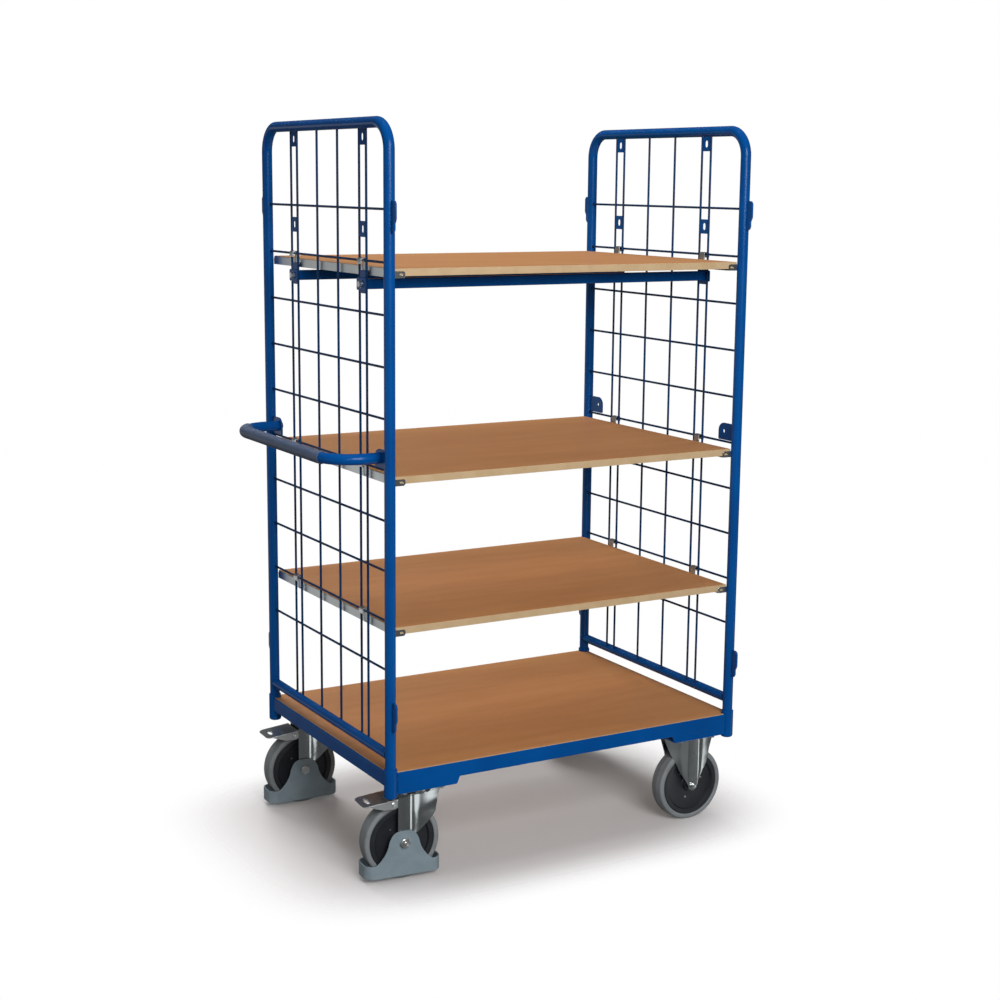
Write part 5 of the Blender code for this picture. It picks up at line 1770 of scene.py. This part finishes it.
@dataclass
class BrakePedal:
    """The brake pedal of a swivel castor: a pressed tread with an eye, ridges, two flanges and rivets.

    The tread's start and tip and the flange's outline count from the pivot along X and Z. The rivet is a list of
    (radius, place along the pivot) points beyond the flange, after its stem.
    """

    prefix: str
    pivot: Vector
    turn: Matrix
    start: Point = (0.012, 0.012)
    tip: Point = (-0.078, 0.002)
    half: float = 0.0395
    corner: float = 0.016
    tread: float = 0.0025
    eye_half: Point = (0.006, 0.015)
    eye_corner: float = 0.0058
    eye_back: float = 0.021
    rim_half: Point = (0.0082, 0.0172)
    rim_corner: float = 0.008
    rim_stand: float = 0.0009
    rim_thickness: float = 0.0043
    ridges: tuple[float, ...] = (0.024, 0.033, 0.042)
    ridge_half: Point = (0.0013, 0.026)
    ridge_corner: float = 0.0012
    ridge_stand: float = 0.0008
    ridge_thickness: float = 0.002
    flange: tuple[Point, ...] = (
        (0.012, 0.0105), (0.012, -0.009), (0.004, -0.012), (-0.024, -0.012), (-0.034, -0.009), (-0.0624, 0.0008),
        (-0.0624, 0.0030),
    )
    flange_inset: float = 0.0001
    flange_thickness: float = 0.0024
    rivet_foot: float = 0.027
    rivet_stem: float = 0.0035
    rivet: tuple[Point, ...] = ((0.0058, 0.0), (0.0056, 0.0012), (0.0035, 0.0024), (0, 0.0028))

    def build(self, body: str) -> None:
        """Build the pedal on a body.

        Args:
            body: the frame body that it rides on.
        """
        form = Form(self.turn)
        self.add_tread(form)
        stem = [(0, self.rivet_foot), (self.rivet_stem, self.rivet_foot), (self.rivet_stem, self.half)]
        rivet = stem + [(r, self.half + out) for r, out in self.rivet]
        for way in (-1, 1):
            origin = self.pivot + Vector((0, way * (self.half - self.flange_inset), 0))
            form.plate(self.flange, origin, (1, 0, 0), (0, 0, 1), way * self.flange_thickness)
            form.turned(rivet, self.pivot, (0, way, 0), 24)
        name = f"{self.prefix}_brake_pedal"
        form.publish(name, Finishes.PALE_ZINC, body, name, soften=0.0005)

    def add_tread(self, form: Form) -> None:
        """Add the tread with its eye, the raised rim and the ridges to a form.

        Args:
            form: the form that takes it.
        """
        (start_x, start_z), (tip_x, tip_z) = self.start, self.tip
        start, across = self.pivot + Vector((start_x, 0, start_z)), Vector((0, 1, 0))
        run = Vector((tip_x - start_x, 0, tip_z - start_z))
        length, along = run.length, run.normalized()
        normal, r = along.cross(across), self.corner
        outline = [(0, -self.half), *arc(length - r, r - self.half, r, -90, 0, 6)]
        outline += [*arc(length - r, self.half - r, r, 0, 90, 6), (0, self.half)]
        eye, rim = (
            shifted(rounded(*half, corner, 8), length - self.eye_back, 0)
            for half, corner in ((self.eye_half, self.eye_corner), (self.rim_half, self.rim_corner))
        )
        form.plate(outline, start, along, across, self.tread, [eye])
        form.plate(rim, start - normal * self.rim_stand, along, across, self.rim_thickness, [eye])
        for place in self.ridges:
            ridge = shifted(rounded(*self.ridge_half, self.ridge_corner, 4), place, 0)
            form.plate(ridge, start - normal * self.ridge_stand, along, across, self.ridge_thickness)


@dataclass
class SwivelCastor(Castor):
    """A swivel castor: race, fork, foot guard, brake pedal and wheel."""

    pin_hole: float = 0.0104
    race_height: float = 0.0150
    race_sides: tuple[Point, ...] = (
        (0, 0), (0.0365, 0), (0.0372, 0.0008), (0.0372, 0.0028), (0.0352, 0.0042), (0.0330, 0.0048),
        (0.0322, 0.0062), (0.0322, 0.0072), (0.0352, 0.0086), (0.0368, 0.0108), (0.0368, 0.0140), (0.0360, 0.0150),
    )
    pin_radius: float = 0.0098
    pin_drop: float = 0.001
    web_z: float = 0.2172
    web_thickness: float = 0.0038
    ear_radius: float = 0.007
    ear_length: float = 0.024
    ear_y: float = 0.0300
    ear_thickness: float = 0.0028
    pedal_back: float = 0.030
    pedal_z: float = 0.204
    levels: tuple[tuple[float, ...], ...] = (
        (0.0812, 0.005, 0.005, 0, 0), (0.084, 0.0105, 0.0105, 0, 0), (0.090, 0.0165, 0.0165, 0, 0),
        (0.100, 0.0188, 0.0200, 0, 0.001), (0.110, 0.0172, 0.0290, 0, 0.003), (0.119, 0.0158, 0.0400, 0, 0.005),
        (0.130, 0.0150, 0.0540, 0, 0.006), (0.145, 0.0150, 0.0710, 0, 0.0062),
        (0.160, 0.0150, 0.0840, 0, 0.0062), (0.168, 0.0150, 0.0900, 0, 0.0100),
        (0.176, 0.0150, 0.0950, 0, 0.0180), (0.190, 0.0148, 0.1020, 0, 0.0270),
        (0.205, 0.0142, 0.1060, 0, 0.0290), (0.2160, 0.0136, 0.1095, 0, 0.0300),
        (0.2195, 0.0135, 0.1095, 0, 0.0300),
    )

    @property
    def fork_body(self) -> str:
        """The body that swivels."""
        return f"{self.prefix}_fork_body"

    @property
    def pivot(self) -> Vector:
        """The middle of the pedal's pivot, before the turn."""
        return Vector((self.axle_x - self.pedal_back, self.head.y, self.pedal_z))

    def build(self) -> None:
        """Build the castor."""
        self.top_plate(f"{self.prefix}_top_plate", f"{self.prefix}_top_plate", hole=self.pin_hole)
        self.race()
        self.fork()
        guard = FootGuard(self.prefix, self.axle, self.turn)
        guard.build(self.fork_body)
        BrakePedal(self.prefix, self.pivot, self.turn).build(f"{self.prefix}_pedal_body")
        self.axle_ends(self.fork_body, guard.half_width + SIZES.gap)
        Wheel(self.prefix, tuple(self.axle), self.turn).build()

    def race(self) -> None:
        """Add the swivel race: the pressed ring with its ball groove and the king pin's head."""
        top = SIZES.castor_height - SIZES.plate_thickness - SIZES.gap
        low, pin_top = top - self.race_height, SIZES.castor_height - self.pin_drop
        profile = [(r, low + up) for r, up in self.race_sides]
        profile += [(self.pin_radius, top), (self.pin_radius, pin_top), (0, pin_top)]
        form = Form(self.turn).turned(profile, (self.head.x, self.head.y, 0), (0, 0, 1), 72)
        form.publish(f"{self.prefix}_swivel_race", Finishes.ZINC, self.fork_body, flat=25)

    def fork(self) -> None:
        """Add the fork: a web that follows the legs' top section, the legs and the pedal's ears."""
        form = Form(self.turn)
        for way in (-1, 1):
            self.leg(form, way, self.levels)
        _, back, reach, _, drop = self.levels[-1]
        front = [(x, self.cheek_y - inwards) for x, inwards, _, _ in self.curl(reach, self.flat_front, drop, 1)]
        outline = [(-back, -self.cheek_y), *[(x, -y) for x, y in front], *front[::-1], (-back, self.cheek_y)]
        origin = (self.axle_x, self.head.y, self.web_z)
        form.plate(outline, origin, (1, 0, 0), (0, 1, 0), self.web_thickness)
        r, reach = self.ear_radius, self.ear_length
        ear = [(reach, r), *arc(0, 0, r, 90, 270, 10), (reach, -r)]
        for way in (-1, 1):
            origin = self.pivot + Vector((0, way * self.ear_y, 0))
            form.plate(ear, origin, (1, 0, 0), (0, 0, 1), -way * self.ear_thickness)
        name = f"{self.prefix}_fork"
        form.publish(f"{name}_pressing", Finishes.ZINC, self.fork_body, name, soften=0.0006, flat=40)


@dataclass
class FixedCastor(Castor):
    """A fixed castor: bracket, axle and wheel. Its levels are rows of height, reach and how far an edge curves in."""

    flat_front: float = 0.0150
    step_depth: float = 0.0
    band_depth: float = 0.0062
    band_start: float = 0.0
    band_width: float = 0.0220
    axle_bolt: Bolt = Bolt(thread=0.006, corner=0.0085, head=0.005)
    half_levels: tuple[tuple[float, float, float], ...] = (
        (0.0850, 0.004, 0), (0.0865, 0.0082, 0), (0.092, 0.0130, 0), (0.100, 0.0155, 0), (0.110, 0.0200, 0.002),
        (0.120, 0.0262, 0.004), (0.135, 0.0360, 0.006), (0.150, 0.0450, 0.0062), (0.170, 0.0545, 0.008),
        (0.190, 0.0640, 0.017), (0.210, 0.0725, 0.020), (0.228, 0.0795, 0.022), (0.2362, 0.0825, 0.023),
    )

    def build(self) -> None:
        """Build the castor."""
        name = f"{self.prefix}_bracket"
        self.top_plate(f"{name}_plate")
        form = Form()
        levels = [(z, reach, reach, drop, drop) for z, reach, drop in self.half_levels]
        for way in (-1, 1):
            self.leg(form, way, levels)
        form.publish(f"{name}_legs", Finishes.ZINC, "frame", name, soften=0.0006, flat=40)
        self.axle_ends("frame", self.cheek_y + SIZES.gap)
        Wheel(self.prefix, tuple(self.axle), self.turn).build()


# Stage


@dataclass(frozen=True)
class Card:
    """A light card that metal mirrors: its direction, the edges of its fade and its strength."""

    way: Place
    edges: Point
    power: float


@dataclass(frozen=True)
class Lamp:
    """A square soft lamp that looks at the trolley, and whether metal and gloss mirror it."""

    name: str
    place: Place
    size: float
    power: float
    mirrored: bool = True
    target: Place = (0.0, 0.0, 0.8)

    def build(self) -> None:
        """Build the lamp."""
        data = bpy.data.lights.new(self.name, "AREA")
        data.shape = "SQUARE"
        data.size = self.size
        data.energy = self.power
        lamp = bpy.data.objects.new(self.name, data)
        bpy.context.collection.objects.link(lamp)
        lamp.location = self.place
        lamp.rotation_euler = (Vector(self.target) - Vector(self.place)).to_track_quat("-Z", "Y").to_euler()
        lamp.visible_glossy = self.mirrored


@dataclass
class Stage:
    """The floor with its grey patch of painted shade, the white surroundings, soft lamps and the camera.

    Metal mirrors dark surroundings with light cards. The strip card is narrow and low, the handle card lies just
    below the horizon, and the sky card is overhead.
    """

    image_px: float = 1000.0
    sensor: float = 36.0
    focal_px: float = 1746.9
    camera_place: tuple[float, float, float] = (-2.3304, -4.0335, 1.7313)
    yaw: float = 0.52372
    pitch: float = 0.18238
    roll: float = 0.00915
    surroundings: float = 0.22
    mirrored_dark: float = 0.09
    strip: Card = Card((0.82, -0.57, 0.0), edges=(0.2, 0.5), power=1.4)
    strip_width: Point = (0.006, 0.04)
    strip_top: Point = (-0.27, -0.12)
    handle_side: Card = Card((-0.75, 0.66, 0.0), edges=(0.1, 0.75), power=0.65)
    handle_low: Point = (-0.32, -0.2)
    handle_high: Point = (-0.1, 0.02)
    front_side: Card = Card((-0.14, -0.99, 0.0), edges=(0.85, 0.93), power=0.12)
    overhead: Card = Card((0.0, 0.0, 1.0), edges=(0.35, 0.9), power=0.1)
    floor_radius: float = 9.0
    floor_roughness: float = 0.85
    floor_specular: float = 0.1
    floor_seen: Colour = (0.60, 0.58, 0.575)
    # Half sizes and fade edges of the grey patch of painted shade round the trolley.
    floor_half_sizes: Point = (0.56, 0.40)
    floor_edges: Point = (0.94, 1.5)
    floor_bounce: Colour = (0.45, 0.45, 0.445)
    floor_lift: float = 0.06
    floor_most: float = 0.998
    lamps: tuple[Lamp, ...] = (
        Lamp("key", (-0.6, -4.4, 2.8), size=2.2, power=176),
        Lamp("spark", (-2.6, -4.3, 2.4), size=0.3, power=18),
        Lamp("back", (0.1, 4.2, 3.1), size=2.8, power=190, mirrored=False),
        Lamp("top", (-0.2, 0.2, 7.0), size=2.8, power=165, mirrored=False),
    )

    def build(self) -> None:
        """Build the stage."""
        self.world()
        self.floor()
        for lamp in self.lamps:
            lamp.build()
        self.camera()

    def camera(self) -> None:
        """Add the camera at the photograph's place."""
        data = bpy.data.cameras.new("photo_camera")
        data.sensor_width = self.sensor
        data.lens = self.focal_px * self.sensor / self.image_px
        data.clip_end = 100
        camera = bpy.data.objects.new("photo_camera", data)
        bpy.context.collection.objects.link(camera)
        forward = Vector((sin(self.yaw) * cos(self.pitch), cos(self.yaw) * cos(self.pitch), -sin(self.pitch)))
        right = Vector((cos(self.yaw), -sin(self.yaw), 0))
        up = right.cross(forward)
        tilted = right * cos(self.roll) + up * sin(self.roll)
        above = up * cos(self.roll) - right * sin(self.roll)
        turn = Matrix((tilted, above, -forward)).transposed().to_4x4()
        place = Vector(self.camera_place) + Vector((SIZES.middle_x, 0, 0))
        camera.matrix_world = Matrix.Translation(place) @ turn
        bpy.context.scene.camera = camera

    def world(self) -> None:
        """Set the surroundings: soft light, white to the camera, and light and dark cards to gloss."""
        world = bpy.data.worlds.new("studio")
        bpy.context.scene.world = world
        world.use_nodes = True
        sky = Shading(world.node_tree)
        up = Vector((0, 0, 1))
        height = self.towards(sky, up)
        off_strip = self.towards(sky, Vector(self.strip.way).cross(up))
        narrow = (1 - (off_strip * off_strip).spread(*self.strip_width)) * (1 - height.spread(*self.strip_top))
        low = height.spread(*self.handle_low) * (1 - height.spread(*self.handle_high))
        mirrored = self.shine(sky, self.strip) * narrow + self.shine(sky, self.handle_side) * low
        mirrored = mirrored + self.shine(sky, self.front_side) + self.shine(sky, self.overhead) + self.mirrored_dark
        glossy = sky.ray("Is Glossy Ray") * (mirrored - self.surroundings) + self.surroundings
        seen = sky.ray("Is Camera Ray")
        strength = glossy * (1 - seen) + seen
        white = sky.node("ShaderNodeBackground", {}, {"Color": (1, 1, 1), "Strength": strength})
        sky.shown(white, "World Output")

    def shine(self, sky: Shading, card: Card) -> Value:
        """How brightly a card shines in a ray's direction."""
        return self.towards(sky, card.way).spread(*card.edges) * card.power

    @staticmethod
    def towards(sky: Shading, way: Place) -> Value:
        """How far a ray heads in a direction: 1 along it, -1 against it."""
        sockets = {0: sky.places, 1: tuple(Vector(way).normalized())}
        return sky.node("ShaderNodeVectorMath", {"operation": "DOT_PRODUCT"}, sockets, "Value")

    def floor(self) -> None:
        """Add a floor that takes the shadow, with a grey patch of painted shade round the trolley that fades into
        white.
        """
        shape = bmesh.new()
        bmesh.ops.create_circle(shape, cap_ends=True, segments=96, radius=self.floor_radius)
        mesh = bpy.data.meshes.new("floor")
        shape.to_mesh(mesh)
        shape.free()
        floor = bpy.data.objects.new("floor", mesh)
        bpy.context.collection.objects.link(floor)
        mesh.materials.append(self.floor_finish())

    def floor_finish(self) -> bpy.types.Material:
        """The floor's material: a grey patch of painted shade round the trolley, clear where the white surroundings
        show.

        Returns:
            The material.
        """
        surface = Surface("pale_floor")
        seen = surface.ray("Is Camera Ray")
        surface.set(
            Base_Color=surface.blend(seen, self.floor_bounce, self.floor_seen), Roughness=self.floor_roughness,
            Specular_IOR_Level=self.floor_specular, Emission_Color=surface.blend(seen, (0, 0, 0), (1, 1, 1)),
            Emission_Strength=self.floor_lift,
        )
        # Painted shade: the floor keeps its grey near the trolley and turns clear outside a rounded patch the size of
        # the base.
        half_x, half_y = self.floor_half_sizes
        along = self.towards(surface, (1, 0, 0)) * (1 / half_x)
        across = self.towards(surface, (0, 1, 0)) * (1 / half_y)
        distance = ((along * along) ** 2 + (across * across) ** 2) ** 0.25
        fade = (distance.spread(*self.floor_edges) * self.floor_most).most(surface.ray("Is Glossy Ray"))
        clear = surface.node("ShaderNodeBsdfTransparent", {}, {})
        shader = Value(surface, surface.shader.outputs[0])
        mixed = surface.node("ShaderNodeMixShader", {}, {0: fade, 1: shader, 2: clear})
        surface.shown(mixed, "Material Output")
        return surface.material


def main() -> None:
    """Build every sub-assembly and the stage."""
    logging.basicConfig(level=logging.INFO, format="%(message)s")
    s = SIZES
    BaseFrame().build()
    Deck().build()
    for end in End:
        EndFrame(end).build()
    PushHandle().build()
    for name, row in SHELF_ROWS.items():
        Shelf(name, row).build()
    for side in Side:
        StayBar(side).build()
        y, trailing_x = side.value * s.castor_y, -s.castor_x - s.castor_trail
        swivel_head, fixed_head = Vector((-s.castor_x, y, 0)), Vector((s.castor_x, y, 0))
        SwivelCastor(f"swivel_castor_{side.word}", swivel_head, trailing_x, CASTOR_TURNS[side]).build()
        FixedCastor(f"fixed_castor_{side.word}", fixed_head, s.castor_x).build()
    Stage().build()
    scene = bpy.context.scene
    scene.view_settings.view_transform = "Standard"


if __name__ == "__main__":
    main()
